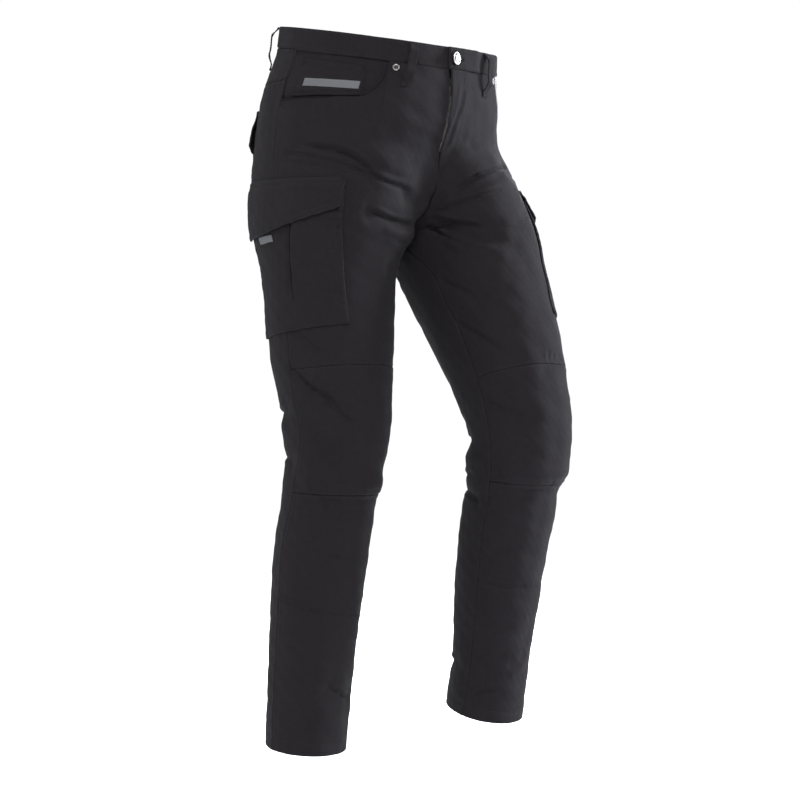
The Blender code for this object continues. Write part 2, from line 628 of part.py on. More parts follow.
def zip_tape(right, name):
    """The zip's tape, closed, with its chain as a low ridge down the middle."""
    x = np.array([0.021, 0.0115, 0.0110, 0.0060, 0.0055, 0.0004])[None, :]
    z = np.linspace(BAND_SEAM - 0.002, TAPE_BASE, 12)[:, None]
    angle = right.angle_at(z + 0 * x, x + 0 * z)
    chain = CHAIN_RISE * np.array([0.0, 0.0, 1.0, 1.0, 0.0, 0.0])[None, :] * (1.0 - ease(-0.110, -0.135, z))
    return cloth(name, right, z, angle, UNDER + chain, TAPE_CLOTH, TAPE)


def zip_slider(right, name):
    """The slider, at the top of the closed chain, between the tape and the left front."""
    x = np.array([0.0114, 0.0080, 0.0046])[None, :]
    z = np.linspace(SLIDER_TOP, SLIDER_BASE, 3)[:, None]
    angle = right.angle_at(z + 0 * x, x + 0 * z)
    return cloth(name, right, z, angle, SLIDER_LIFT, SLIDER_THICK, METAL)


Loop = namedtuple("Loop", "name side angle foot_angle")
LOOPS = [
    Loop("belt_loop_front_right", RIGHT, 64.5, 61.0),
    Loop("belt_loop_side_right", RIGHT, -38.0, -38.5),
    Loop("belt_loop_front_left", LEFT, 66.0, 68.0),
    Loop("belt_loop_side_left", LEFT, -38.0, -38.5),
    Loop("belt_loop_back", LEFT, -90.0, -90.0),
]
LOOP_HALF_WIDE = 0.0063
LOOP_FOOT = -0.042
LOOP_CLOTH = 0.0016
LOOP_BOW = 0.0082


def belt_loop(half, loop):
    """A strap from the band's top edge to just below its seam, bowed out for the belt."""
    down = np.linspace(0.0, 1.0, 11)[:, None]
    z = BAND_TOP - 0.001 + (LOOP_FOOT - BAND_TOP + 0.001) * down
    middle = loop.angle + (loop.foot_angle - loop.angle) * down
    pace = np.linalg.norm(half.bare(z, middle + 0.5) - half.bare(z, middle - 0.5), axis=-1)
    angle = middle + np.array([-1.0, 0.0, 1.0])[None, :] * LOOP_HALF_WIDE / pace
    rest = np.interp(down, [0.0, 0.68, 0.86, 1.0], [BAND_LIFT, BAND_LIFT, 0.0, 0.0]) + LAYER_GAP
    bow = LOOP_BOW * ease(0.0, 0.22, down) * (1.0 - ease(0.66, 0.94, down))
    return cloth(loop.name, half, z, angle, rest + bow + LOOP_CLOTH, LOOP_CLOTH)


def stud(name, centre, out, profile, segments):
    """A turned metal piece standing on the cloth. The profile gives radius and height, foot first."""
    mesh = bpy.data.meshes.new(name)
    mesh.from_pydata([(radius, 0.0, height) for radius, height in profile], [],
                     [(i, i + 1) for i in range(len(profile) - 1)])
    piece = bpy.data.objects.new(name, mesh)
    GARMENT.objects.link(piece)
    turn = piece.modifiers.new("turned", "SCREW")
    turn.steps = turn.render_steps = segments
    turn.use_merge_vertices = True
    turn.merge_threshold = 0.00002
    piece.rotation_euler = Vector(out).to_track_quat("Z", "Y").to_euler()
    piece.location = centre
    paint(piece, METAL)
    return piece


def stand_on(half, z, angle, lift):
    z, angle = np.array([[z]]), np.array([[angle]])
    centre = half.surface(z, angle, lift)[0, 0]
    out = half.normal(half.folded, z, angle)[0, 0]
    return tuple(map(float, centre)), tuple(map(float, out))


# Turned outlines as (radius, height), foot first
BUTTON = [(0.0, 0.0), (0.0048, 0.0), (0.0048, 0.0014), (0.0088, 0.0018), (0.0088, 0.0034), (0.0070, 0.0044),
          (0.0, 0.0046)]
BUTTON_Z, BUTTON_X = 0.0045, 0.006
BUTTON_SEGMENTS = 16
RIVET = [(0.0, 0.0), (0.0045, 0.0), (0.0043, 0.0007), (0.0022, 0.0013), (0.0, 0.0013)]
RIVET_Z, RIVET_ANGLE = -0.0178, 56.0
RIVET_SEGMENTS = 12


def build():
    right, left = Half(RIGHT, RIGHT_LEG), Half(LEFT, LEFT_LEG)
    right.other, left.other = left, right
    for half in (right, left):
        for source in (right, left):
            source_folds = [fold for fold in FOLDS if fold.side == source.side]
            for fold in source_folds:
                half.folds.append(source.fold_path(fold))
    for half, word in ((right, "right"), (left, "left")):
        front_panel(half, f"front_thigh_{word}")
        leg_panel(half, f"knee_{word}", half.seams.knee_top, half.seams.knee_base)
        leg_panel(half, f"shin_{word}", half.seams.knee_base, half.seams.hem)
        back_panel(half, f"back_{word}")
        yoke(half, f"yoke_{word}")
        pocket_facing(half, f"pocket_facing_{word}")
        cargo_pocket(half, f"cargo_pocket_{word}")
        cargo_flap(half, f"cargo_flap_{word}")
        back_pocket(half, f"back_pocket_{word}")
        back_flap(half, f"back_flap_{word}")
        rivet_place = stand_on(half, RIVET_Z, RIVET_ANGLE, LAYER_GAP)
        stud(f"rivet_{word}", *rivet_place, RIVET, RIVET_SEGMENTS)
    coin_pocket(right, "coin_pocket")
    coin_strip(right, "coin_strip")
    cargo_tag(right, "cargo_tag_right")
    waistband(left)
    fly_shield(right, "fly_shield")
    fly_facing(left, "fly_facing")
    zip_tape(right, "zip_tape")
    zip_slider(right, "zip_slider")
    for loop in LOOPS:
        belt_loop(left if loop.side == LEFT else right, loop)
    button_lift = BAND_LIFT + BAND_LAP_LIFT + LAYER_GAP
    button_place = stand_on(left, BUTTON_Z, float(left.angle_at(0.0, -BUTTON_X)), button_lift)
    stud("waist_button", *button_place, BUTTON, BUTTON_SEGMENTS)


GARMENT = collection("motorcycle trousers")
build()
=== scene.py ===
"""Motorcycle trousers, empty and filled out: the cloth, sewing and metal that show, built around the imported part.

Frame: the origin is the middle of the waist, +Z is up, the front faces -Y and the wearer's left is +X.
All sizes are in metres. Angles on a section are in degrees: 0 is the outer side of the leg, 90 the front,
180 the other leg and -90 the back.
"""
from __future__ import annotations

import logging
import math
from dataclasses import dataclass, field
from enum import Enum

import bpy
import numpy as np
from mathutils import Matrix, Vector
from mathutils.kdtree import KDTree

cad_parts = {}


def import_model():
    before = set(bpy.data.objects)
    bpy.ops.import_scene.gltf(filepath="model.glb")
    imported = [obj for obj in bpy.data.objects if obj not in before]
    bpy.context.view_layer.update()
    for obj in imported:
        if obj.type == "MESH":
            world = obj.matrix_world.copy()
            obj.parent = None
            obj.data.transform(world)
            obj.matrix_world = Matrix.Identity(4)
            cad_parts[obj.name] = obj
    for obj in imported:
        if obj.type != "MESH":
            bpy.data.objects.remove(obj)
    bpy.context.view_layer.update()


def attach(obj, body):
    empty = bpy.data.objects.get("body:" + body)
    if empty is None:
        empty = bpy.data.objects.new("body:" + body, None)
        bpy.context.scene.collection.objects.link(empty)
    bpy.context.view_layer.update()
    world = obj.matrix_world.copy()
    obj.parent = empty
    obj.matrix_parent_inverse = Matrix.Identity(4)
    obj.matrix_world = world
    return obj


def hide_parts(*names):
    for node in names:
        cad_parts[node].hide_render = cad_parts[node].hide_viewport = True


LOG = logging.getLogger("trousers")


class Side(Enum):
    """The wearer's right or left half, as a sign along X."""

    RIGHT = -1
    LEFT = 1

    @property
    def word(self) -> str:
        """The side in plain words."""
        return self.name.lower()


class Kind(Enum):
    """How a crease rises or falls across its line."""

    FOLD = "a large fold, the same in the solid part"
    SOFT = "a soft trough or ridge that fades at both ends"
    ROLL = "a sharp trough with a soft roll of cloth above it"
    TUCK = "a sharp trough with a soft roll of cloth below it"


@dataclass(frozen=True)
class Sizes:
    """The driving sizes, which the solid part shares."""

    cloth: float = 0.0016
    seam_gap: float = 0.0003
    layer_gap: float = 0.0003
    patch_gap: float = 0.0009
    band_top: float = 0.020
    band_seam: float = -0.010
    band_cloth: float = 0.0026
    band_lift: float = 0.0008
    band_lap_lift: float = 0.0034
    band_end: float = 0.016
    band_tongue: float = 0.030
    crotch: float = -0.252
    fly_lap: float = 0.012
    fly_gape: float = 0.0045
    fly_base: float = -0.172
    crease_strength: float = 1.4
    roundness: float = 2.15
    groin_deep: float = 0.030
    groin_x: float = -0.015
    groin_wide: float = 0.055
    level: float = -0.090
    scoop_side: float = -0.078
    scoop_front: float = -0.065
    scoop_turn: float = 38.0
    scoop_end: float = 52.5
    yoke_side: float = -0.052
    yoke_back: float = -0.084


SIZE = Sizes()
UNDER = -(SIZE.cloth + SIZE.patch_gap)
ON_PANEL = SIZE.cloth + SIZE.patch_gap


@dataclass(frozen=True)
class Section:
    """One level of a half: its reach, its depth, its lean and the angles of its seams."""

    name: str
    z: float
    outer: float
    inner: float
    middle: float
    front: float
    back: float
    lean: float
    side_seam: float
    inseam: float


@dataclass(frozen=True)
class Seams:
    """The levels of the seams across a leg."""

    knee_top: float
    knee_base: float
    hem: float


HIPS = (
    Section("waist top", 0.022, 0.1605, -0.1605, 0.000, 0.137, 0.137, 0.19, -5, 180),
    Section("waist seam", -0.018, 0.1640, -0.1640, 0.004, 0.141, 0.140, 0.19, -5, 180),
    Section("yoke", -0.060, 0.1735, -0.1735, 0.014, 0.149, 0.148, 0.17, -5, 180),
)
LEGS = {
    Side.RIGHT: (
        Section("hip", -0.110, 0.1800, -0.1720, 0.020, 0.148, 0.156, 0.11, -5, 180),
        Section("seat", -0.165, 0.1840, -0.1250, 0.022, 0.146, 0.153, 0.05, -5, 180),
        Section("fork", -0.215, 0.1860, -0.0480, 0.022, 0.132, 0.136, 0.01, -5, 180),
        Section("crotch", -0.252, 0.1870, 0.0003, 0.020, 0.118, 0.122, 0.00, -4, 180),
        Section("thigh", -0.330, 0.1840, 0.0100, 0.016, 0.093, 0.095, -0.04, 0, 172),
        Section("low thigh", -0.430, 0.1830, 0.0170, 0.010, 0.086, 0.084, -0.10, 3, 168),
        Section("knee top", -0.475, 0.1790, 0.0230, 0.004, 0.082, 0.078, -0.08, 1, 168),
        Section("knee", -0.545, 0.1770, 0.0330, -0.005, 0.074, 0.070, 0.00, 6, 172),
        Section("knee base", -0.620, 0.1750, 0.0450, 0.002, 0.066, 0.065, 0.06, -3, 166),
        Section("calf", -0.700, 0.1780, 0.0500, 0.015, 0.064, 0.066, 0.10, -8, 164),
        Section("shin", -0.790, 0.1810, 0.0590, 0.022, 0.061, 0.062, 0.11, -8, 166),
        Section("low shin", -0.880, 0.1830, 0.0670, 0.027, 0.058, 0.058, 0.11, -8, 168),
        Section("hem", -0.978, 0.1840, 0.0740, 0.033, 0.055, 0.055, 0.11, -7, 170),
    ),
    Side.LEFT: (
        Section("hip", -0.110, 0.1800, -0.1720, 0.020, 0.148, 0.156, 0.11, -5, 180),
        Section("seat", -0.165, 0.1890, -0.1250, 0.002, 0.146, 0.158, 0.05, -5, 180),
        Section("fork", -0.215, 0.1920, -0.0480, -0.022, 0.132, 0.148, 0.01, -5, 180),
        Section("crotch", -0.252, 0.1930, 0.0003, -0.040, 0.122, 0.130, 0.00, -4, 180),
        Section("thigh", -0.330, 0.1900, 0.0120, -0.074, 0.102, 0.104, -0.22, 0, 174),
        Section("low thigh", -0.430, 0.1840, 0.0260, -0.122, 0.085, 0.085, -0.32, 3, 172),
        Section("knee top", -0.475, 0.1800, 0.0330, -0.140, 0.078, 0.080, -0.26, 1, 174),
        Section("knee", -0.545, 0.1805, 0.0380, -0.154, 0.072, 0.073, -0.04, 6, 172),
        Section("knee base", -0.620, 0.1775, 0.0480, -0.136, 0.064, 0.067, 0.14, -3, 167),
        Section("calf", -0.700, 0.1815, 0.0590, -0.111, 0.061, 0.065, 0.22, -8, 168),
        Section("shin", -0.780, 0.1860, 0.0700, -0.089, 0.059, 0.060, 0.24, -8, 166),
        Section("low shin", -0.860, 0.1880, 0.0800, -0.072, 0.055, 0.055, 0.24, -8, 168),
        Section("hem", -0.944, 0.1910, 0.0830, -0.056, 0.054, 0.054, 0.24, -7, 170),
    ),
}
SEAMS = {Side.RIGHT: Seams(-0.452, -0.620, -0.978), Side.LEFT: Seams(-0.464, -0.604, -0.944)}


@dataclass(frozen=True)
class Crease:
    """A trough or ridge along places given as (z, angle). A height over 0 is a ridge in a FOLD or SOFT one."""

    side: Side
    kind: Kind
    width: float
    height: float
    places: tuple[tuple[float, float], ...]


def fold(side: Side, z: float, angle: float, end_z: float, end_angle: float, width: float, height: float) -> Crease:
    """A large straight fold, as in the solid part."""
    return Crease(side, Kind.FOLD, width, height, ((z, angle), (end_z, end_angle)))


FOLDS = (
    # Whiskers across the right hip
    fold(Side.RIGHT, -0.141, 14, -0.172, 54, 0.011, -0.0032),
    fold(Side.RIGHT, -0.172, 54, -0.208, 92, 0.010, -0.0035),
    fold(Side.RIGHT, -0.128, 26, -0.160, 62, 0.012, 0.0022),
    fold(Side.RIGHT, -0.157, 6, -0.186, 56, 0.010, -0.0024),
    # Crotch creases
    fold(Side.RIGHT, -0.240, 70, -0.252, 118, 0.010, -0.0045),
    fold(Side.RIGHT, -0.262, 96, -0.266, 138, 0.011, 0.0030),
    fold(Side.LEFT, -0.153, 55, -0.196, 104, 0.012, -0.0038),
    fold(Side.LEFT, -0.172, 66, -0.214, 120, 0.011, 0.0035),
    fold(Side.LEFT, -0.247, 106, -0.250, 150, 0.010, -0.0035),
    fold(Side.LEFT, -0.255, 140, -0.282, 98, 0.011, -0.0032),
    fold(Side.LEFT, -0.268, 140, -0.300, 112, 0.011, 0.0026),
    fold(Side.LEFT, -0.332, 164, -0.366, 142, 0.012, -0.0026),
    fold(Side.LEFT, -0.388, 168, -0.446, 134, 0.013, -0.0026),
    # Right knee: the deep diagonal, then the hollow beside the kneecap
    fold(Side.RIGHT, -0.452, 6, -0.496, 42, 0.010, -0.0042),
    fold(Side.RIGHT, -0.496, 42, -0.520, 58, 0.011, -0.0026),
    fold(Side.RIGHT, -0.466, 30, -0.500, 66, 0.013, 0.0024),
    fold(Side.RIGHT, -0.404, 16, -0.436, 42, 0.012, -0.0024),
    fold(Side.RIGHT, -0.528, 20, -0.576, 46, 0.015, -0.0030),
    fold(Side.RIGHT, -0.602, 24, -0.604, 130, 0.017, 0.0040),
    fold(Side.RIGHT, -0.636, 24, -0.640, 128, 0.012, -0.0026),
    # Left knee: gathers above, the overhang below
    fold(Side.LEFT, -0.456, 70, -0.470, 98, 0.010, -0.0024),
    fold(Side.LEFT, -0.496, 166, -0.526, 126, 0.014, -0.0026),
    fold(Side.LEFT, -0.586, 40, -0.588, 140, 0.018, 0.0048),
    fold(Side.LEFT, -0.619, 36, -0.622, 140, 0.012, -0.0030),
    # Behind the knees
    fold(Side.RIGHT, -0.505, -18, -0.520, -84, 0.012, -0.0040),
    fold(Side.RIGHT, -0.528, -30, -0.546, -120, 0.013, 0.0030),
    fold(Side.RIGHT, -0.578, -14, -0.566, -96, 0.012, -0.0038),
    fold(Side.LEFT, -0.545, -142, -0.556, -60, 0.012, -0.0055),
    fold(Side.LEFT, -0.575, -158, -0.590, -70, 0.012, 0.0035),
    fold(Side.LEFT, -0.634, -172, -0.622, -96, 0.012, -0.0042),
    # Under the seat
    fold(Side.RIGHT, -0.262, -150, -0.284, -84, 0.013, -0.0040),
    fold(Side.RIGHT, -0.306, -142, -0.318, -92, 0.013, -0.0026),
    fold(Side.LEFT, -0.268, -148, -0.272, -86, 0.012, -0.0032),
    # Lower legs
    fold(Side.RIGHT, -0.694, 52, -0.706, 84, 0.010, -0.0022),
    fold(Side.RIGHT, -0.884, 76, -0.900, 118, 0.012, -0.0036),
    fold(Side.LEFT, -0.822, 78, -0.838, 116, 0.016, -0.0026),
    fold(Side.LEFT, -0.872, -160, -0.886, -108, 0.013, -0.0028),
)

CREASES = (
    # Right hip: the whiskers' sharp lines, with the rolls of cloth between them
    Crease(Side.RIGHT, Kind.ROLL, 0.0044, 0.0028,
           ((-0.1405, 16), (-0.1426, 26), (-0.1475, 38), (-0.1604, 47), (-0.1760, 56))),
    Crease(Side.RIGHT, Kind.ROLL, 0.0046, 0.0026,
           ((-0.1603, 46), (-0.1736, 53), (-0.1881, 62), (-0.1945, 71), (-0.1980, 82), (-0.2035, 95))),
    Crease(Side.RIGHT, Kind.TUCK, 0.0042, 0.0020, ((-0.1555, 2), (-0.1540, 10), (-0.1580, 22), (-0.1630, 30))),
    Crease(Side.RIGHT, Kind.ROLL, 0.0038, 0.0017, ((-0.1580, 26), (-0.1680, 40), (-0.1800, 54), (-0.1920, 66))),
    Crease(Side.RIGHT, Kind.SOFT, 0.0100, 0.0020, ((-0.1500, 10), (-0.1560, 30), (-0.1700, 46))),
    Crease(Side.RIGHT, Kind.SOFT, 0.0100, 0.0015, ((-0.1900, 84), (-0.2000, 98), (-0.2150, 112))),
    Crease(Side.RIGHT, Kind.SOFT, 0.0090, -0.0012, ((-0.1200, 46), (-0.1300, 60), (-0.1420, 74))),
    Crease(Side.RIGHT, Kind.SOFT, 0.0100, 0.0010, ((-0.0960, 60), (-0.1040, 78), (-0.1150, 92))),
    Crease(Side.RIGHT, Kind.SOFT, 0.0110, -0.0011, ((-0.1060, 8), (-0.1120, 22), (-0.1160, 36))),
    # Right crotch: the deep fold under the fly, with its star
    Crease(Side.RIGHT, Kind.ROLL, 0.0040, 0.0030,
           ((-0.2355, 66), (-0.2385, 76), (-0.2430, 86), (-0.2461, 97), (-0.2475, 110), (-0.2480, 128))),
    Crease(Side.RIGHT, Kind.SOFT, 0.0070, 0.0020, ((-0.2580, 88), (-0.2640, 104), (-0.2600, 128))),
    Crease(Side.RIGHT, Kind.TUCK, 0.0040, 0.0012, ((-0.2680, 96), (-0.2760, 110), (-0.2730, 132))),
    Crease(Side.RIGHT, Kind.SOFT, 0.0100, 0.0016, ((-0.2700, 106), (-0.3000, 96), (-0.3320, 98))),
    Crease(Side.RIGHT, Kind.SOFT, 0.0090, -0.0012, ((-0.2860, 122), (-0.3120, 108), (-0.3360, 112))),
    Crease(Side.RIGHT, Kind.SOFT, 0.0080, -0.0010, ((-0.2260, 60), (-0.2380, 70), (-0.2560, 76))),
    # Left hip and crotch star
    Crease(Side.LEFT, Kind.TUCK, 0.0046, 0.0030,
           ((-0.1495, 48), (-0.1530, 57), (-0.1597, 71), (-0.1670, 81), (-0.1742, 88), (-0.1923, 101), (-0.2008, 109))),
    Crease(Side.LEFT, Kind.ROLL, 0.0050, 0.0026,
           ((-0.1940, 80), (-0.2060, 100), (-0.2165, 113), (-0.2220, 123), (-0.2265, 132), (-0.2320, 140))),
    Crease(Side.LEFT, Kind.ROLL, 0.0034, 0.0024,
           ((-0.2310, 143), (-0.2382, 137), (-0.2430, 133), (-0.2461, 128), (-0.2500, 120))),
    Crease(Side.LEFT, Kind.ROLL, 0.0036, 0.0024,
           ((-0.2412, 152), (-0.2503, 150), (-0.2599, 147), (-0.2690, 142), (-0.2800, 135))),
    Crease(Side.LEFT, Kind.SOFT, 0.0046, -0.0014, ((-0.2500, 141), (-0.2599, 134), (-0.2690, 128), (-0.2793, 119), (-0.2865, 111))),
    Crease(Side.LEFT, Kind.SOFT, 0.0060, 0.0013, ((-0.2620, 150), (-0.2820, 143), (-0.3000, 132))),
    Crease(Side.LEFT, Kind.ROLL, 0.0050, 0.0012, ((-0.3300, 168), (-0.3460, 158), (-0.3640, 146))),
    Crease(Side.LEFT, Kind.ROLL, 0.0060, 0.0014, ((-0.3860, 171), (-0.4120, 158), (-0.4460, 138))),
    Crease(Side.LEFT, Kind.SOFT, 0.0110, 0.0012, ((-0.3500, 112), (-0.3760, 104), (-0.4100, 106))),
    Crease(Side.LEFT, Kind.SOFT, 0.0090, -0.0012, ((-0.2200, 60), (-0.2360, 76), (-0.2440, 90))),
    Crease(Side.LEFT, Kind.SOFT, 0.0080, 0.0011, ((-0.1240, 66), (-0.1340, 84), (-0.1500, 98))),
    Crease(Side.LEFT, Kind.SOFT, 0.0060, -0.0010, ((-0.1000, 62), (-0.1120, 74), (-0.1260, 82))),
    # Right knee
    Crease(Side.RIGHT, Kind.ROLL, 0.0044, 0.0021,
           ((-0.4530, 6), (-0.4640, 15), (-0.4790, 26), (-0.4940, 42), (-0.5060, 50))),
    Crease(Side.RIGHT, Kind.ROLL, 0.0044, 0.0013, ((-0.4960, 40), (-0.5080, 50), (-0.5180, 57), (-0.5260, 68))),
    Crease(Side.RIGHT, Kind.ROLL, 0.0050, 0.0012, ((-0.4020, 17), (-0.4180, 26), (-0.4360, 40))),
    Crease(Side.RIGHT, Kind.SOFT, 0.0080, -0.0014, ((-0.5320, 18), (-0.5500, 30), (-0.5740, 46))),
    Crease(Side.RIGHT, Kind.SOFT, 0.0090, 0.0013, ((-0.5480, 22), (-0.5680, 34), (-0.5900, 48))),
    Crease(Side.RIGHT, Kind.SOFT, 0.0090, -0.0010, ((-0.4760, 70), (-0.4860, 84), (-0.5000, 96))),
    Crease(Side.RIGHT, Kind.SOFT, 0.0080, -0.0010, ((-0.5760, 110), (-0.5860, 128), (-0.5980, 140))),
    Crease(Side.RIGHT, Kind.TUCK, 0.0030, 0.0010, ((-0.6180, 34), (-0.6280, 42), (-0.6420, 46))),
    Crease(Side.RIGHT, Kind.SOFT, 0.0085, 0.0017, ((-0.6080, 26), (-0.6090, 70), (-0.6080, 136))),
    Crease(Side.RIGHT, Kind.SOFT, 0.0042, -0.0015, ((-0.6250, 30), (-0.6262, 76), (-0.6250, 134))),
    Crease(Side.LEFT, Kind.SOFT, 0.0090, 0.0018, ((-0.5920, 40), (-0.5930, 90), (-0.5920, 146))),
    Crease(Side.LEFT, Kind.SOFT, 0.0042, -0.0016, ((-0.6090, 42), (-0.6102, 92), (-0.6090, 142))),
    # Left knee: the gathers at its top seam and the soft folds round it
    Crease(Side.LEFT, Kind.SOFT, 0.0030, -0.0010, ((-0.4480, 88), (-0.4560, 90), (-0.4620, 90))),
    Crease(Side.LEFT, Kind.SOFT, 0.0026, 0.0008, ((-0.4500, 94), (-0.4560, 95), (-0.4620, 95))),
    Crease(Side.LEFT, Kind.SOFT, 0.0030, -0.0009, ((-0.4500, 80), (-0.4560, 81), (-0.4620, 82))),
    Crease(Side.LEFT, Kind.ROLL, 0.0060, 0.0015, ((-0.4970, 171), (-0.5100, 154), (-0.5260, 130))),
    Crease(Side.LEFT, Kind.SOFT, 0.0080, -0.0012, ((-0.4760, 160), (-0.4900, 148), (-0.5060, 140))),
    Crease(Side.LEFT, Kind.SOFT, 0.0090, 0.0012, ((-0.5400, 168), (-0.5500, 150), (-0.5560, 132))),
    Crease(Side.LEFT, Kind.SOFT, 0.0070, -0.0012, ((-0.6060, 150), (-0.6180, 158), (-0.6380, 172))),
    # Lower legs, front
    Crease(Side.RIGHT, Kind.SOFT, 0.0060, 0.0012, ((-0.6860, 50), (-0.6920, 66), (-0.6980, 82))),
    Crease(Side.RIGHT, Kind.TUCK, 0.0040, 0.0009, ((-0.6940, 54), (-0.7000, 66), (-0.7040, 78))),
    Crease(Side.RIGHT, Kind.ROLL, 0.0036, 0.0022, ((-0.8840, 78), (-0.8880, 90), (-0.8960, 106), (-0.9000, 120))),
    Crease(Side.RIGHT, Kind.SOFT, 0.0070, 0.0012, ((-0.8680, 84), (-0.8760, 100), (-0.8860, 120))),
    Crease(Side.RIGHT, Kind.SOFT, 0.0090, -0.0009, ((-0.9260, 40), (-0.9320, 62), (-0.9440, 84))),
    Crease(Side.RIGHT, Kind.SOFT, 0.0090, -0.0010, ((-0.8260, 14), (-0.8380, 34), (-0.8500, 54))),
    Crease(Side.RIGHT, Kind.SOFT, 0.0080, 0.0009, ((-0.7400, 96), (-0.7560, 110), (-0.7700, 122))),
    Crease(Side.LEFT, Kind.SOFT, 0.0090, 0.0011, ((-0.7900, 84), (-0.7980, 100), (-0.8060, 120))),
    Crease(Side.LEFT, Kind.SOFT, 0.0080, -0.0012, ((-0.8420, 74), (-0.8520, 90), (-0.8560, 110))),
    Crease(Side.LEFT, Kind.SOFT, 0.0070, 0.0011, ((-0.8600, 70), (-0.8640, 88), (-0.8720, 104))),
    Crease(Side.LEFT, Kind.TUCK, 0.0036, 0.0010, ((-0.8940, 120), (-0.8980, 138), (-0.9060, 156))),
    Crease(Side.LEFT, Kind.SOFT, 0.0070, -0.0010, ((-0.6860, 130), (-0.6980, 146), (-0.7160, 160))),
    # Behind the right knee and up its thigh
    Crease(Side.RIGHT, Kind.ROLL, 0.0044, 0.0020, ((-0.5020, -14), (-0.5060, -40), (-0.5160, -70), (-0.5240, -96))),
    Crease(Side.RIGHT, Kind.TUCK, 0.0044, 0.0018, ((-0.5780, -12), (-0.5740, -44), (-0.5660, -76), (-0.5700, -110))),
    Crease(Side.RIGHT, Kind.SOFT, 0.0060, -0.0016, ((-0.5380, -60), (-0.5480, -96), (-0.5440, -140))),
    Crease(Side.RIGHT, Kind.SOFT, 0.0070, 0.0016, ((-0.5540, -40), (-0.5580, -84), (-0.5620, -130))),
    Crease(Side.RIGHT, Kind.ROLL, 0.0046, 0.0014, ((-0.4760, -110), (-0.4860, -136), (-0.4880, -160))),
    Crease(Side.RIGHT, Kind.SOFT, 0.0090, -0.0014, ((-0.6060, -40), (-0.6120, -80), (-0.6060, -120))),
    Crease(Side.RIGHT, Kind.SOFT, 0.0100, -0.0013, ((-0.4140, -50), (-0.4300, -80), (-0.4380, -116))),
    # Behind the left knee
    Crease(Side.LEFT, Kind.ROLL, 0.0046, 0.0024, ((-0.5440, -150), (-0.5480, -120), (-0.5560, -80), (-0.5600, -50))),
    Crease(Side.LEFT, Kind.TUCK, 0.0046, 0.0018, ((-0.6340, -176), (-0.6300, -140), (-0.6220, -100), (-0.6240, -70))),
    Crease(Side.LEFT, Kind.SOFT, 0.0060, -0.0018, ((-0.5740, -140), (-0.5780, -110), (-0.5860, -84))),
    Crease(Side.LEFT, Kind.ROLL, 0.0044, 0.0014, ((-0.5960, -166), (-0.6040, -130), (-0.6040, -96))),
    Crease(Side.LEFT, Kind.SOFT, 0.0080, -0.0014, ((-0.5100, -150), (-0.5220, -120), (-0.5260, -80))),
    Crease(Side.LEFT, Kind.SOFT, 0.0060, -0.0012, ((-0.5780, 178), (-0.5820, 160), (-0.5960, 150))),
    Crease(Side.LEFT, Kind.SOFT, 0.0100, 0.0012, ((-0.4600, -150), (-0.4740, -110), (-0.4800, -70))),
    # Under and across the seat
    Crease(Side.RIGHT, Kind.ROLL, 0.0050, 0.0020, ((-0.2600, -156), (-0.2700, -130), (-0.2820, -100), (-0.2840, -80))),
    Crease(Side.RIGHT, Kind.TUCK, 0.0050, 0.0014, ((-0.3040, -148), (-0.3120, -124), (-0.3180, -96))),
    Crease(Side.RIGHT, Kind.SOFT, 0.0090, -0.0013, ((-0.3440, -140), (-0.3560, -116), (-0.3600, -90))),
    Crease(Side.RIGHT, Kind.SOFT, 0.0090, -0.0012, ((-0.2240, -128), (-0.2340, -112), (-0.2360, -92))),
    Crease(Side.LEFT, Kind.ROLL, 0.0050, 0.0019, ((-0.2660, -154), (-0.2680, -126), (-0.2740, -96), (-0.2700, -76))),
    Crease(Side.LEFT, Kind.TUCK, 0.0050, 0.0014, ((-0.3000, -150), (-0.3160, -126), (-0.3220, -98))),
    Crease(Side.LEFT, Kind.SOFT, 0.0090, -0.0012, ((-0.3620, -140), (-0.3760, -110), (-0.3800, -84))),
    Crease(Side.LEFT, Kind.SOFT, 0.0090, -0.0012, ((-0.2280, -124), (-0.2360, -108), (-0.2340, -88))),
    # Outer side of the left leg, like the right one's
    Crease(Side.LEFT, Kind.ROLL, 0.0044, 0.0018, ((-0.4680, 8), (-0.4820, 20), (-0.4960, 36), (-0.5080, 48))),
    Crease(Side.LEFT, Kind.SOFT, 0.0090, -0.0014, ((-0.5300, 14), (-0.5480, 28), (-0.5660, 42))),
    Crease(Side.LEFT, Kind.SOFT, 0.0080, 0.0011, ((-0.4180, 10), (-0.4340, 24), (-0.4480, 36))),
    Crease(Side.LEFT, Kind.TUCK, 0.0044, 0.0013, ((-0.1480, 4), (-0.1540, 22), (-0.1640, 40), (-0.1760, 52))),
    Crease(Side.LEFT, Kind.SOFT, 0.0090, -0.0010, ((-0.7240, 20), (-0.7360, 44), (-0.7440, 64))),
    # Lower legs, back
    Crease(Side.RIGHT, Kind.SOFT, 0.0090, -0.0012, ((-0.6980, -60), (-0.7120, -90), (-0.7160, -120))),
    Crease(Side.RIGHT, Kind.SOFT, 0.0080, -0.0012, ((-0.8600, -50), (-0.8740, -84), (-0.8780, -116))),
    Crease(Side.RIGHT, Kind.TUCK, 0.0044, 0.0011, ((-0.9120, -100), (-0.9200, -130), (-0.9180, -156))),
    Crease(Side.LEFT, Kind.ROLL, 0.0044, 0.0016, ((-0.8700, -164), (-0.8760, -140), (-0.8860, -110))),
    Crease(Side.LEFT, Kind.SOFT, 0.0090, -0.0012, ((-0.7300, -110), (-0.7440, -80), (-0.7460, -50))),
    Crease(Side.LEFT, Kind.SOFT, 0.0080, -0.0010, ((-0.8000, -140), (-0.8120, -110), (-0.8160, -84))),
)


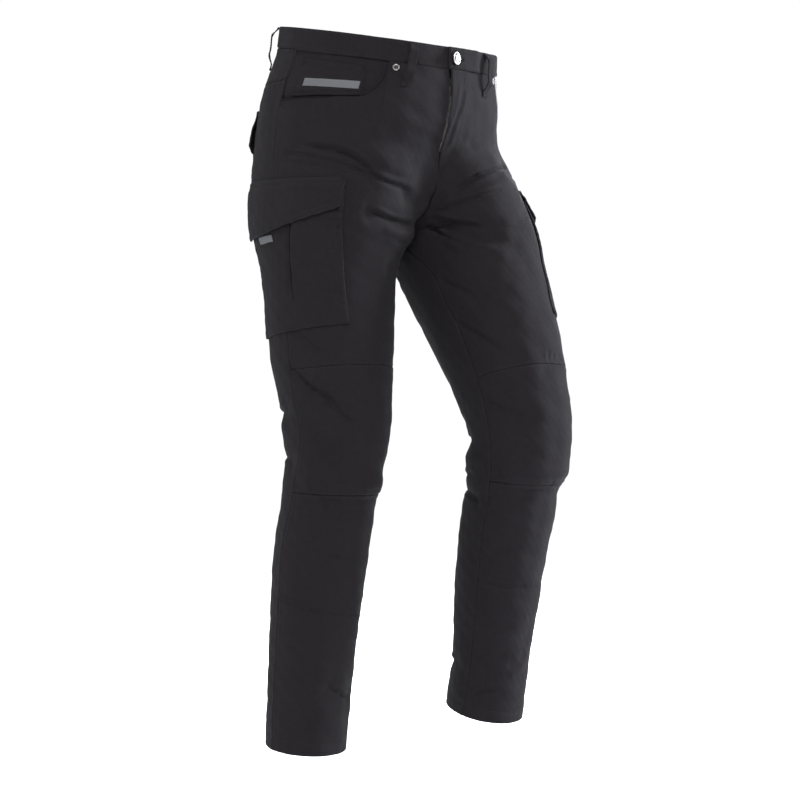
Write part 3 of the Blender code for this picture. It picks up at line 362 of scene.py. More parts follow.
def curve_through(heights: list[float], values: list[float], z: np.ndarray) -> np.ndarray:
    """A smooth curve through the levels that never swings past them.

    Args:
        heights: the levels, which fall down the garment.
        values: the value at each level.
        z: where to read the curve.

    Returns:
        The values at z.
    """
    place = -np.asarray(heights, float)
    value = np.asarray(values, float)
    step = np.diff(place)
    slope = np.diff(value) / step
    tangent = np.zeros(len(place))
    tangent[0], tangent[-1] = slope[0], slope[-1]
    for i in range(1, len(place) - 1):
        if slope[i - 1] * slope[i] > 0:
            before = 2 * step[i] + step[i - 1]
            after = step[i] + 2 * step[i - 1]
            tangent[i] = (before + after) / (before / slope[i - 1] + after / slope[i])
    at = np.clip(-np.asarray(z, float), place[0] - 0.05, place[-1] + 0.05)
    i = np.clip(np.searchsorted(place, at, side="right") - 1, 0, len(place) - 2)
    t = (at - place[i]) / step[i]
    inside = (
        (2 * t**3 - 3 * t**2 + 1) * value[i]
        + (t**3 - 2 * t**2 + t) * step[i] * tangent[i]
        + (-2 * t**3 + 3 * t**2) * value[i + 1]
        + (t**3 - t**2) * step[i] * tangent[i + 1]
    )
    over = value[-1] + (at - place[-1]) * tangent[-1]
    under = value[0] + (at - place[0]) * tangent[0]
    return np.where(at > place[-1], over, np.where(at < place[0], under, inside))


def ease(start: float, end: float, at: np.ndarray | float) -> np.ndarray:
    """0 before start, 1 after end, with a soft run between them."""
    t = np.clip((np.asarray(at, float) - start) / (end - start), 0.0, 1.0)
    return t * t * (3.0 - 2.0 * t)


def unit(vectors: np.ndarray) -> np.ndarray:
    """The same directions at length 1."""
    return vectors / np.maximum(np.linalg.norm(vectors, axis=-1, keepdims=True), 1e-12)


@dataclass
class Half:
    """One side of the garment: its sections, its seam lines and its outer cloth surface."""

    side: Side
    other: Half | None = None
    lines: list[tuple[Crease, np.ndarray, np.ndarray]] = field(default_factory=list)

    def __post_init__(self) -> None:
        """Gathers the levels of the hips and the leg."""
        self.rows = HIPS + LEGS[self.side]
        self.heights = [row.z for row in self.rows]
        self.seams = SEAMS[self.side]

    def read(self, column: str, z: np.ndarray) -> np.ndarray:
        """One column of the sections at any level."""
        return curve_through(self.heights, [getattr(row, column) for row in self.rows], z)

    def reach(self, z: np.ndarray) -> tuple[np.ndarray, np.ndarray]:
        """Half the width of a section, and how far out its middle is."""
        outer, inner = self.read("outer", z), self.read("inner", z)
        return (outer - inner) / 2, (outer + inner) / 2

    def angle_at(self, z: np.ndarray | float, x: np.ndarray | float, front: bool = True) -> np.ndarray:
        """The angle at which the section passes a distance x outward of the garment's middle."""
        half_width, middle = self.reach(z)
        share = np.clip((x - middle) / half_width, -1.0, 1.0)
        rise = (1.0 - np.abs(share) ** SIZE.roundness) ** (1.0 / SIZE.roundness)
        angle = np.degrees(np.arctan2(rise, share))
        return angle if front else -angle

    def front_angle(self, z: np.ndarray) -> np.ndarray:
        """Where the front panel ends: the fly, the crotch curve, then the inseam."""
        lap = -self.side.value * SIZE.fly_lap * (1.0 - ease(-0.100, -0.200, z))
        return np.where(z > SIZE.crotch, self.angle_at(z, lap), self.read("inseam", z))

    def back_angle(self, z: np.ndarray) -> np.ndarray:
        """Where the back panel ends: the seat seam, then the inseam."""
        seat = self.angle_at(z, 0.0, front=False)
        return np.where(z > SIZE.crotch, seat, self.read("inseam", z) - 360.0)

    def side_angle(self, z: np.ndarray) -> np.ndarray:
        """Where the side seam runs."""
        return self.read("side_seam", z)

    def middle_y(self, z: np.ndarray, front: bool) -> np.ndarray:
        """Where the section crosses the garment's middle, front or back."""
        angle = np.radians(self.angle_at(z, 0.0))
        depth = self.read("front", z) if front else -self.read("back", z)
        return self.read("middle", z) - depth * self.round(angle) * np.sin(angle)

    @staticmethod
    def round(angle: np.ndarray) -> np.ndarray:
        """The radius of a section of reach 1 at an angle in radians."""
        power = SIZE.roundness
        return (np.abs(np.cos(angle)) ** power + np.abs(np.sin(angle)) ** power) ** (-1.0 / power)

    def bare(self, z: np.ndarray, degrees: np.ndarray) -> np.ndarray:
        """The surface without folds."""
        z = np.asarray(z, float)
        angle = np.radians(degrees)
        half_width, out = self.reach(z)
        front = np.sin(angle) > 0
        depth = np.where(front, self.read("front", z), self.read("back", z))
        radius = self.round(angle)
        x = out + half_width * radius * np.cos(angle)
        y = self.read("middle", z) - depth * radius * np.sin(angle)
        if self.other is not None:
            near = np.clip(1.0 - np.abs(x) / 0.090, 0.0, 1.0) ** 2
            near = near * (1.0 - ease(SIZE.crotch, SIZE.crotch - 0.070, z))
            shift_front = (self.other.middle_y(z, True) - self.middle_y(z, True)) / 2
            shift_back = (self.other.middle_y(z, False) - self.middle_y(z, False)) / 2
            forward = 0.5 + 0.5 * np.sin(angle)
            y = y + near * (shift_front * forward + shift_back * (1.0 - forward))
        groin = SIZE.groin_deep * ease(-0.085, -0.185, z) * (1.0 - ease(-0.205, -0.262, z))
        aside = (self.side.value * x - SIZE.groin_x) / SIZE.groin_wide
        y = y + groin * np.exp(-aside**2) * np.clip(2.0 * np.sin(angle), 0.0, 1.0)
        height = z + self.read("lean", z) * (y - self.read("middle", z))
        return np.stack(np.broadcast_arrays(self.side.value * x, y, height), -1)

    def places(self, z: np.ndarray, degrees: np.ndarray) -> tuple[np.ndarray, np.ndarray]:
        """A line of places on the outer cloth and the directions out of it."""
        points, out = self.surface(np.asarray(z, float)[:, None], np.asarray(degrees, float)[:, None])
        return points[:, 0], out[:, 0]

    def line_of(self, crease: Crease) -> tuple[Crease, np.ndarray, np.ndarray]:
        """A crease as places on the bare surface, with the direction across it that points up."""
        places = np.array(crease.places, float)
        given = np.linspace(0.0, 1.0, len(places))
        t = np.linspace(0.0, 1.0, 7 if crease.kind is Kind.FOLD else 5 * len(places))
        z, degrees = np.interp(t, given, places[:, 0]), np.interp(t, given, places[:, 1])
        if crease.kind is not Kind.FOLD:
            for _ in range(3):
                z[1:-1] = (z[:-2] + 2 * z[1:-1] + z[2:]) / 4
                degrees[1:-1] = (degrees[:-2] + 2 * degrees[1:-1] + degrees[2:]) / 4
        path = self.bare(z, degrees)
        out = unit(path - self.bare(z, degrees + 180.0))
        across = unit(np.cross(out, np.gradient(path, axis=0)))
        if across[:, 2].mean() < 0:
            across = -across
        return crease, path, across

    def relief(self, points: np.ndarray, z: np.ndarray,
               lines: list[tuple[Crease, np.ndarray, np.ndarray]]) -> np.ndarray:
        """How far the folds and creases move each point out.

        Args:
            points: places on the bare surface.
            z: the level of each place.
            lines: creases as line_of gives them.

        Returns:
            The height at each place.
        """
        flat = points.reshape(-1, 3)
        height = np.zeros(len(flat))
        for crease, path, across in lines:
            margin = 3.2 * crease.width
            near = np.all((flat > path.min(0) - margin) & (flat < path.max(0) + margin), axis=1)
            index = np.nonzero(near)[0]
            if len(index) == 0:
                continue
            height[index] += self.profile(crease, path, across, flat[index])
        height = height.reshape(points.shape[:-1])
        beside_middle = np.clip(np.abs(points[..., 0]) / 0.015, 0.0, 1.0)
        return height * np.where(z > SIZE.crotch - 0.03, beside_middle, 1.0)

    @staticmethod
    def profile(crease: Crease, path: np.ndarray, across: np.ndarray, places: np.ndarray) -> np.ndarray:
        """The height of one crease at some places."""
        nearest = np.full(len(places), 9.0)
        signed = np.zeros(len(places))
        along = np.zeros(len(places))
        steps = len(path) - 1
        for k in range(steps):
            run = path[k + 1] - path[k]
            t = np.clip(((places - path[k]) @ run) / (run @ run), 0.0, 1.0)
            gap = places - (path[k] + t[:, None] * run)
            far = np.linalg.norm(gap, axis=1)
            closer = far < nearest
            nearest = np.where(closer, far, nearest)
            signed = np.where(closer, np.sign(gap @ across[k]) * far, signed)
            along = np.where(closer, (k + t) / steps, along)
        if crease.kind is Kind.FOLD:
            return crease.height * np.exp(-((nearest / crease.width) ** 2))
        uneven = 1.0 + 0.22 * np.sin(9.0 * along + 60.0 * path[0, 2] + 3.0 * path[0, 0])
        taper = np.clip(4.0 * along * (1.0 - along), 0.0, 1.0) ** 0.6 * uneven
        taper = taper * SIZE.crease_strength
        if crease.kind is Kind.SOFT:
            return crease.height * taper * np.exp(-((nearest / crease.width) ** 2))
        s = signed / crease.width * (1.0 if crease.kind is Kind.ROLL else -1.0)
        rise = 0.85 * np.exp(-((s - 1.2) ** 2)) - np.exp(-((1.5 * s + 0.2) ** 2))
        return crease.height * taper * rise

    @staticmethod
    def drift(points: np.ndarray) -> np.ndarray:
        """The faint waves that any filled-out cloth has, as a height at each place."""
        x, y, z = points[..., 0], points[..., 1], points[..., 2]
        slow = np.sin(71 * x + 38 * y + 47 * z + 0.4) * np.sin(29 * x - 61 * y + 66 * z + 1.9)
        mid = np.sin(139 * x - 83 * y + 118 * z + 2.2) * np.sin(61 * x + 142 * y - 97 * z + 0.7)
        fine = np.sin(262 * x + 171 * y + 203 * z + 1.1) * np.sin(223 * x - 249 * y + 181 * z + 2.6)
        return 0.00065 * slow + 0.00038 * mid + 0.00016 * fine

    def folded(self, z: np.ndarray, degrees: np.ndarray) -> np.ndarray:
        """The outer surface with its folds, with normals read round each point."""
        points = self.bare(z, degrees)
        step_z, step_angle = 0.0008, 0.25
        down = self.bare(z - step_z, degrees) - self.bare(z + step_z, degrees)
        round_ = self.bare(z, degrees + step_angle) - self.bare(z, degrees - step_angle)
        out = unit(np.cross(round_, down) * self.side.value)
        rise = self.relief(points, z, self.lines)
        middle = np.where(z > SIZE.crotch - 0.03, np.clip(np.abs(points[..., 0]) / 0.015, 0.0, 1.0), 1.0)
        return points + out * (rise + self.drift(points) * middle)[..., None]

    def surface(self, z: np.ndarray, degrees: np.ndarray) -> tuple[np.ndarray, np.ndarray]:
        """Points on the outer cloth and the directions straight out of it."""
        z = np.asarray(z, float) + 0.0 * np.asarray(degrees, float)
        degrees = np.asarray(degrees, float) + 0.0 * z
        if min(z.shape) > 3:
            points = self.folded(z, degrees)
            out = unit(np.cross(np.gradient(points, axis=1), np.gradient(points, axis=0)))
            turn = np.sign((out * (points - self.bare(z, degrees + 180.0))).sum(-1).mean())
            return points, out * turn
        step_z, step_angle = 0.0008, 0.25
        down = self.folded(z - step_z, degrees) - self.folded(z + step_z, degrees)
        round_ = self.folded(z, degrees + step_angle) - self.folded(z, degrees - step_angle)
        return self.folded(z, degrees), unit(np.cross(round_, down) * self.side.value)


@dataclass(frozen=True)
class Edge:
    """How one edge of a cut piece is sewn: its rolled rim, its raised allowance and its rows of stitches."""

    roll: float = 0.0011
    ridge: float = 0.00035
    ridge_at: float = 0.0034
    pucker: float = 0.00022
    rows: tuple[float, ...] = ()

    def marks(self) -> list[float]:
        """Distances in from the edge at which the cloth needs a line of points."""
        found = [0.0, 0.0004, 0.0010, 0.0020, 0.0036]
        for row in self.rows:
            found = [m for m in found if abs(m - row) > 0.0011 or m < 0.0005] + [row - 0.0009, row, row + 0.0009]
        return sorted(m for m in found if m >= 0)

    def relief(self, distance: np.ndarray, along: np.ndarray) -> np.ndarray:
        """The height of the cloth near this edge."""
        height = -self.roll * np.exp(-((distance / 0.0007) ** 2))
        height += self.ridge * np.exp(-(((distance - self.ridge_at) / 0.0030) ** 2))
        for row in self.rows:
            height -= 0.00028 * np.exp(-(((distance - row) / 0.0007) ** 2))
        wave = np.sin(along / 0.0019 + 1.8 * np.sin(along / 0.0071)) * (0.6 + 0.4 * np.sin(along / 0.0163 + 1.0))
        return height + self.pucker * wave * np.exp(-(((distance - 0.003) / 0.006) ** 2))


PLAIN = Edge(roll=0.0003, ridge=0.0, pucker=0.0)
SEWN = Edge()
TOPPED = Edge(rows=(0.0018,))
TWIN = Edge(ridge=0.00045, ridge_at=0.0045, rows=(0.0018, 0.0080))
HEM = Edge(roll=0.0008, ridge=0.0004, ridge_at=0.0060, pucker=0.00030, rows=(0.0175,))
KNEE_BASE = Edge(roll=0.0016, ridge=0.0007, ridge_at=0.0030, pucker=0.00034, rows=(0.0018,))


@dataclass(frozen=True)
class Edges:
    """The four edges of a cut piece, named as it is worn."""

    top: Edge = SEWN
    base: Edge = SEWN
    start: Edge = SEWN
    end: Edge = SEWN


def spaced(length: float, first: Edge, last: Edge, step: float, multiple: int = 4) -> np.ndarray:
    """Shares from 0 to 1 along a piece, close together at its sewn edges.

    Args:
        length: how long the piece is that way.
        first: the edge at share 0.
        last: the edge at share 1.
        step: the usual distance between points.
        multiple: the number of steps is a multiple of this.

    Returns:
        The shares, in order.
    """
    near = [m for m in first.marks() if m < length * 0.45]
    far = [length - m for m in last.marks() if m < length * 0.45]
    gap = far[-1] - near[-1]
    inner = max(1, round(gap / step))
    inner += (-(len(near) + len(far) - 2 + inner)) % multiple
    places = near + [near[-1] + gap * k / inner for k in range(1, inner)] + far[::-1]
    return np.array(places) / length


@dataclass
class Cut:
    """A cut piece of cloth as a grid of points on its outer face, from which everything on it is placed."""

    name: str
    outer: np.ndarray
    inner: np.ndarray
    out: np.ndarray
    # How much painted highlight each point gets, near sewn edges and stitch rows.
    rub: np.ndarray
    cut: tuple[float, float, float]

    @classmethod
    def made(cls, name: str, half: Half, z: np.ndarray, angle: np.ndarray, lift: np.ndarray | float,
             thickness: float, edges: Edges, extra: np.ndarray | None = None, folded: bool = False) -> Cut:
        """Lays a grid of places on the garment's surface and raises it.

        Args:
            name: the piece's name.
            half: the side of the garment that it lies on.
            z: the level of each place.
            angle: the angle of each place.
            lift: how far its outer face is from the garment's surface.
            thickness: the cloth's thickness.
            edges: how its edges are sewn.
            extra: more height for each place, such as a padded form.
            folded: True where the piece folds back over itself, so that its wall follows its own face.

        Returns:
            The piece.
        """
        z, angle = z + 0.0 * angle, angle + 0.0 * z
        points, out = half.surface(z, angle)
        lift = np.asarray(lift, float) + 0.0 * z
        outer = points + out * lift[..., None]
        bare = half.bare(z, angle)
        across = np.concatenate([np.zeros((len(z), 1)), np.cumsum(
            np.linalg.norm(np.diff(bare, axis=1), axis=-1), axis=1)], axis=1)
        down = np.concatenate([np.zeros((1, z.shape[1])), np.cumsum(
            np.linalg.norm(np.diff(bare, axis=0), axis=-1), axis=0)], axis=0)
        rise = edges.start.relief(across, z) + edges.end.relief(across[:, -1:] - across, z)
        rise += edges.top.relief(down, across) + edges.base.relief(down[-1:, :] - down, across)
        if extra is not None:
            rise = rise + extra
        inner = outer - out * thickness
        outer = outer + out * rise[..., None]
        if folded:
            turned_out = unit(np.cross(np.gradient(outer, axis=1), np.gradient(outer, axis=0)))
            turned_out *= np.sign((turned_out * out).sum(-1)[:, 3].mean())
            inner = outer - turned_out * thickness
        # Painted highlight: full at sewn edges, fainter along the rows of stitches.
        rub = np.zeros(rise.shape)
        for edge, distance in ((edges.start, across), (edges.end, across[:, -1:] - across),
                               (edges.top, down), (edges.base, down[-1:, :] - down)):
            if edge is not PLAIN:
                rub = np.maximum(rub, np.exp(-((distance / 0.0016) ** 2)))
                for row in edge.rows:
                    rub = np.maximum(rub, 0.35 * np.exp(-(((distance - row) / 0.0016) ** 2)))
        size = (float(across[:, -1].max()), float(down[-1].max()))
        one, two = np.diff(bare, axis=1)[:-1], np.diff(bare, axis=0)[:, :-1]
        area = float(np.linalg.norm(np.cross(one, two), axis=-1).sum())
        return cls(name, outer, inner, out, rub, (*size, area))

    def across(self, share: float) -> tuple[np.ndarray, np.ndarray]:
        """A line down the outer face at a share of its width."""
        j = round(share * (self.outer.shape[1] - 1))
        return self.outer[:, j], self.out[:, j]

    def along(self, edge: str, distance: float, end_distance: float | None = None,
              start: float = 0.0, stop: float = 1.0) -> tuple[np.ndarray, np.ndarray]:
        """A line on the outer face at a distance in from one edge.

        Args:
            edge: top, base, start or end.
            distance: how far in the line begins.
            end_distance: how far in it ends, if that differs.
            start: where it begins, as a share of the edge.
            stop: where it ends.

        Returns:
            The points of the line and the directions out of the cloth there.
        """
        grid, out = self.outer, self.out
        if edge in ("start", "end"):
            grid, out = np.swapaxes(grid, 0, 1), np.swapaxes(out, 0, 1)
        if edge in ("base", "end"):
            grid, out = grid[::-1], out[::-1]
        length = np.concatenate([np.zeros((1, grid.shape[1])), np.cumsum(
            np.linalg.norm(np.diff(grid, axis=0), axis=-1), axis=0)], axis=0)
        count = grid.shape[1]
        first, last = round(start * (count - 1)), round(stop * (count - 1))
        far = distance if end_distance is None else end_distance
        points, normals = [], []
        for j in range(first, last + 1):
            want = distance + (far - distance) * (j - first) / max(1, last - first)
            i = int(np.clip(np.searchsorted(length[:, j], want) - 1, 0, len(length) - 2))
            t = (want - length[i, j]) / max(length[i + 1, j] - length[i, j], 1e-9)
            points.append(grid[i, j] + (grid[i + 1, j] - grid[i, j]) * t)
            normals.append(out[i, j])
        return np.array(points), np.array(normals)

    def on(self, points: np.ndarray) -> tuple[np.ndarray, np.ndarray]:
        """The places of the outer face beneath some points, and the directions out of it there."""
        flat, out = self.outer.reshape(-1, 3), self.out.reshape(-1, 3)
        tree = KDTree(len(flat))
        for index, place in enumerate(flat):
            tree.insert(place, index)
        tree.balance()
        found = np.array([tree.find(point)[1] for point in points])
        gap = ((points - flat[found]) * out[found]).sum(-1, keepdims=True)
        return points - out[found] * gap, out[found]

    def shell(self, material: bpy.types.Material, coarse: int = 4) -> bpy.types.Object:
        """Builds the piece as a closed thin wall, finer outside than inside."""
        outer, inner = self.outer, self.inner[::coarse, ::coarse]
        rows, columns = outer.shape[:2]
        grid = np.arange(rows * columns).reshape(rows, columns)
        under = np.arange(inner.shape[0] * inner.shape[1]).reshape(inner.shape[:2]) + grid.size
        quads = [self._quads(grid), self._quads(under)[:, ::-1]]
        rim = []
        for fine, rough in ((grid[0], under[0]), (grid[:, -1], under[:, -1]),
                            (grid[-1, ::-1], under[-1, ::-1]), (grid[::-1, 0], under[::-1, 0])):
            for k in range(len(rough) - 1):
                a, b = rough[k], rough[k + 1]
                run = fine[k * coarse:(k + 1) * coarse + 1]
                middle = coarse // 2
                rim += [(run[m], a if m < middle else b, run[m + 1]) for m in range(coarse)]
                rim.append((a, b, run[middle]))
        rim = np.array(rim)
        faces = [tuple(f) for f in np.concatenate(quads).tolist()] + [tuple(f) for f in rim.tolist()]
        across, down = outer[0, 1] - outer[0, 0], outer[1, 0] - outer[0, 0]
        if np.cross(across, down) @ (outer[0, 0] - self.inner[0, 0]) > 0:
            faces = [face[::-1] for face in faces]
        points = np.concatenate([outer.reshape(-1, 3), inner.reshape(-1, 3)])
        piece = solid(f"{self.name}_piece", points, faces, material)
        weave = piece.data.attributes.new("weave", "FLOAT_VECTOR", "POINT")
        weave.data.foreach_set("vector", self._weave(outer, inner, coarse).astype(np.float32).ravel())
        # The painted highlight along sewn edges and stitch rows, for the cloth's colour and roughness.
        rub = piece.data.attributes.new("rub", "FLOAT", "POINT")
        amount = np.concatenate([self.rub.ravel(), self.rub[::coarse, ::coarse].ravel()])
        rub.data.foreach_set("value", amount.astype(np.float32))
        return piece

    @staticmethod
    def _quads(grid: np.ndarray) -> np.ndarray:
        """The four-sided faces of a grid of point numbers."""
        return np.stack([grid[:-1, :-1], grid[:-1, 1:], grid[1:, 1:], grid[1:, :-1]], -1).reshape(-1, 4)[:, ::-1]

    @staticmethod
    def _weave(outer: np.ndarray, inner: np.ndarray, coarse: int) -> np.ndarray:
        """Where each point is on the flat cloth, in metres across and down."""
        across = np.concatenate([np.zeros((outer.shape[0], 1)), np.cumsum(
            np.linalg.norm(np.diff(outer, axis=1), axis=-1), axis=1)], axis=1)
        down = np.concatenate([np.zeros((1, outer.shape[1])), np.cumsum(
            np.linalg.norm(np.diff(outer, axis=0), axis=-1), axis=0)], axis=0)
        middle = outer.shape[1] // 2
        across = across - across[:, middle:middle + 1]
        down = down[:, middle:middle + 1] + 0.0 * down
        flat = np.stack([across, down, 0.0 * down], -1)
        return np.concatenate([flat.reshape(-1, 3), flat[::coarse, ::coarse].reshape(-1, 3)])


def solid(name: str, points: np.ndarray, faces: list, material: bpy.types.Material,
          sharp: float = 60.0) -> bpy.types.Object:
    """A mesh object in the scene, smoothly shaded but for its sharp edges."""
    mesh = bpy.data.meshes.new(name)
    mesh.from_pydata(np.asarray(points).tolist(), [], faces)
    mesh.shade_smooth()
    mesh.set_sharp_from_angle(angle=math.radians(sharp))
    mesh.materials.append(material)
    piece = bpy.data.objects.new(name, mesh)
    bpy.context.scene.collection.objects.link(piece)
    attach(piece, "root")
    return piece


def inset(half: Half, z: np.ndarray, angle: np.ndarray, gap: float = SIZE.seam_gap / 2) -> tuple[np.ndarray, np.ndarray]:
    """Draws all four edges of a grid in by half a seam's gap.

    Args:
        half: the side of the garment.
        z: the level of each place.
        angle: the angle of each place.
        gap: how far the edges come in.

    Returns:
        The new levels and angles.
    """
    z, angle = z + 0.0 * angle, angle + 0.0 * z
    z[0] -= gap
    z[-1] += gap
    pace = np.linalg.norm(half.bare(z, angle + 0.5) - half.bare(z, angle - 0.5), axis=-1)
    inward = np.sign(angle[:, -1] - angle[:, 0])
    angle[:, 0] += inward * gap / pace[:, 0]
    angle[:, -1] -= inward * gap / pace[:, -1]
    return z, angle


def scoop_line(turns: int = 3) -> list[tuple[float, float]]:
    """The pocket mouth as (angle, z) places: nearly level from the side seam, then a quarter round."""
    rise = SIZE.scoop_front - SIZE.scoop_side
    level = [(angle, SIZE.scoop_side + rise * (angle + 5.0) / (SIZE.scoop_turn + 5.0))
             for angle in (-5.0, 6.0, 17.0, 28.0, SIZE.scoop_turn)]
    curve = []
    for i in range(1, turns + 1):
        t = math.pi / 2 * i / turns
        curve.append((SIZE.scoop_turn + (SIZE.scoop_end - SIZE.scoop_turn) * math.sin(t),
                      SIZE.scoop_front + (SIZE.band_seam - SIZE.scoop_front) * (1.0 - math.cos(t))))
    return level + curve


def evenly(line: np.ndarray, count: int) -> np.ndarray:
    """The same line with its points evenly spaced."""
    length = np.concatenate([[0.0], np.cumsum(np.linalg.norm(np.diff(line, axis=0), axis=1))])
    want = np.linspace(0.0, length[-1], count)
    return np.stack([np.interp(want, length, line[:, k]) for k in range(line.shape[1])], -1)


def fly_gape(half: Half, z: np.ndarray, angle: np.ndarray) -> np.ndarray:
    """How far the left front stands off along the fly, most of all below the waistband."""
    if half.side is Side.RIGHT:
        return 0.0 * (z + angle)
    return SIZE.fly_gape * ease(75.0, 93.0, angle) * (1.0 - ease(-0.090, -0.185, z))


FLY_RIDGES = (
    # Height, width and the line as (z, x) places, x being how far to the wearer's left
    (0.0013, 0.0030, ((-0.030, 0.0040), (-0.046, 0.0010), (-0.078, -0.0040), (-0.100, -0.0088))),
    (0.0015, 0.0034, ((-0.036, 0.0180), (-0.050, 0.0165), (-0.085, 0.0055), (-0.130, 0.0040))),
    (-0.0010, 0.0034, ((-0.036, 0.0105), (-0.060, 0.0085), (-0.090, -0.0010), (-0.110, -0.0040))),
    (0.0009, 0.0026, ((-0.126, 0.0000), (-0.146, 0.0015), (-0.160, 0.0030))),
    (-0.0009, 0.0060, ((-0.060, 0.0260), (-0.090, 0.0230), (-0.120, 0.0240))),
    (0.0012, 0.0080, ((-0.090, 0.0360), (-0.110, 0.0340), (-0.135, 0.0330))),
)


def fly_ridges(half: Half, z: np.ndarray, angle: np.ndarray) -> np.ndarray:
    """The soft upright ridges of the left front beside the fly.

    Args:
        half: the side of the garment; only the left has them.
        z: the level of each place.
        angle: the angle of each place.

    Returns:
        The height at each place.
    """
    x = half.bare(z, angle)[..., 0]
    height = 0.0 * x
    if half.side is Side.LEFT:
        for rise, width, line in FLY_RIDGES:
            top, foot = line[0][0], line[-1][0]
            middle = np.interp(-z, [-place[0] for place in line], [place[1] for place in line])
            fade = ease(top + 0.006, top - 0.012, z) * (1.0 - ease(foot + 0.014, foot - 0.010, z))
            height += rise * fade * np.exp(-(((x - middle) / width) ** 2))
    return height


def yoke_line(share: np.ndarray) -> np.ndarray:
    """The level of the yoke's seam from the side seam to the middle of the back."""
    return SIZE.yoke_side + (SIZE.yoke_back - SIZE.yoke_side) * share


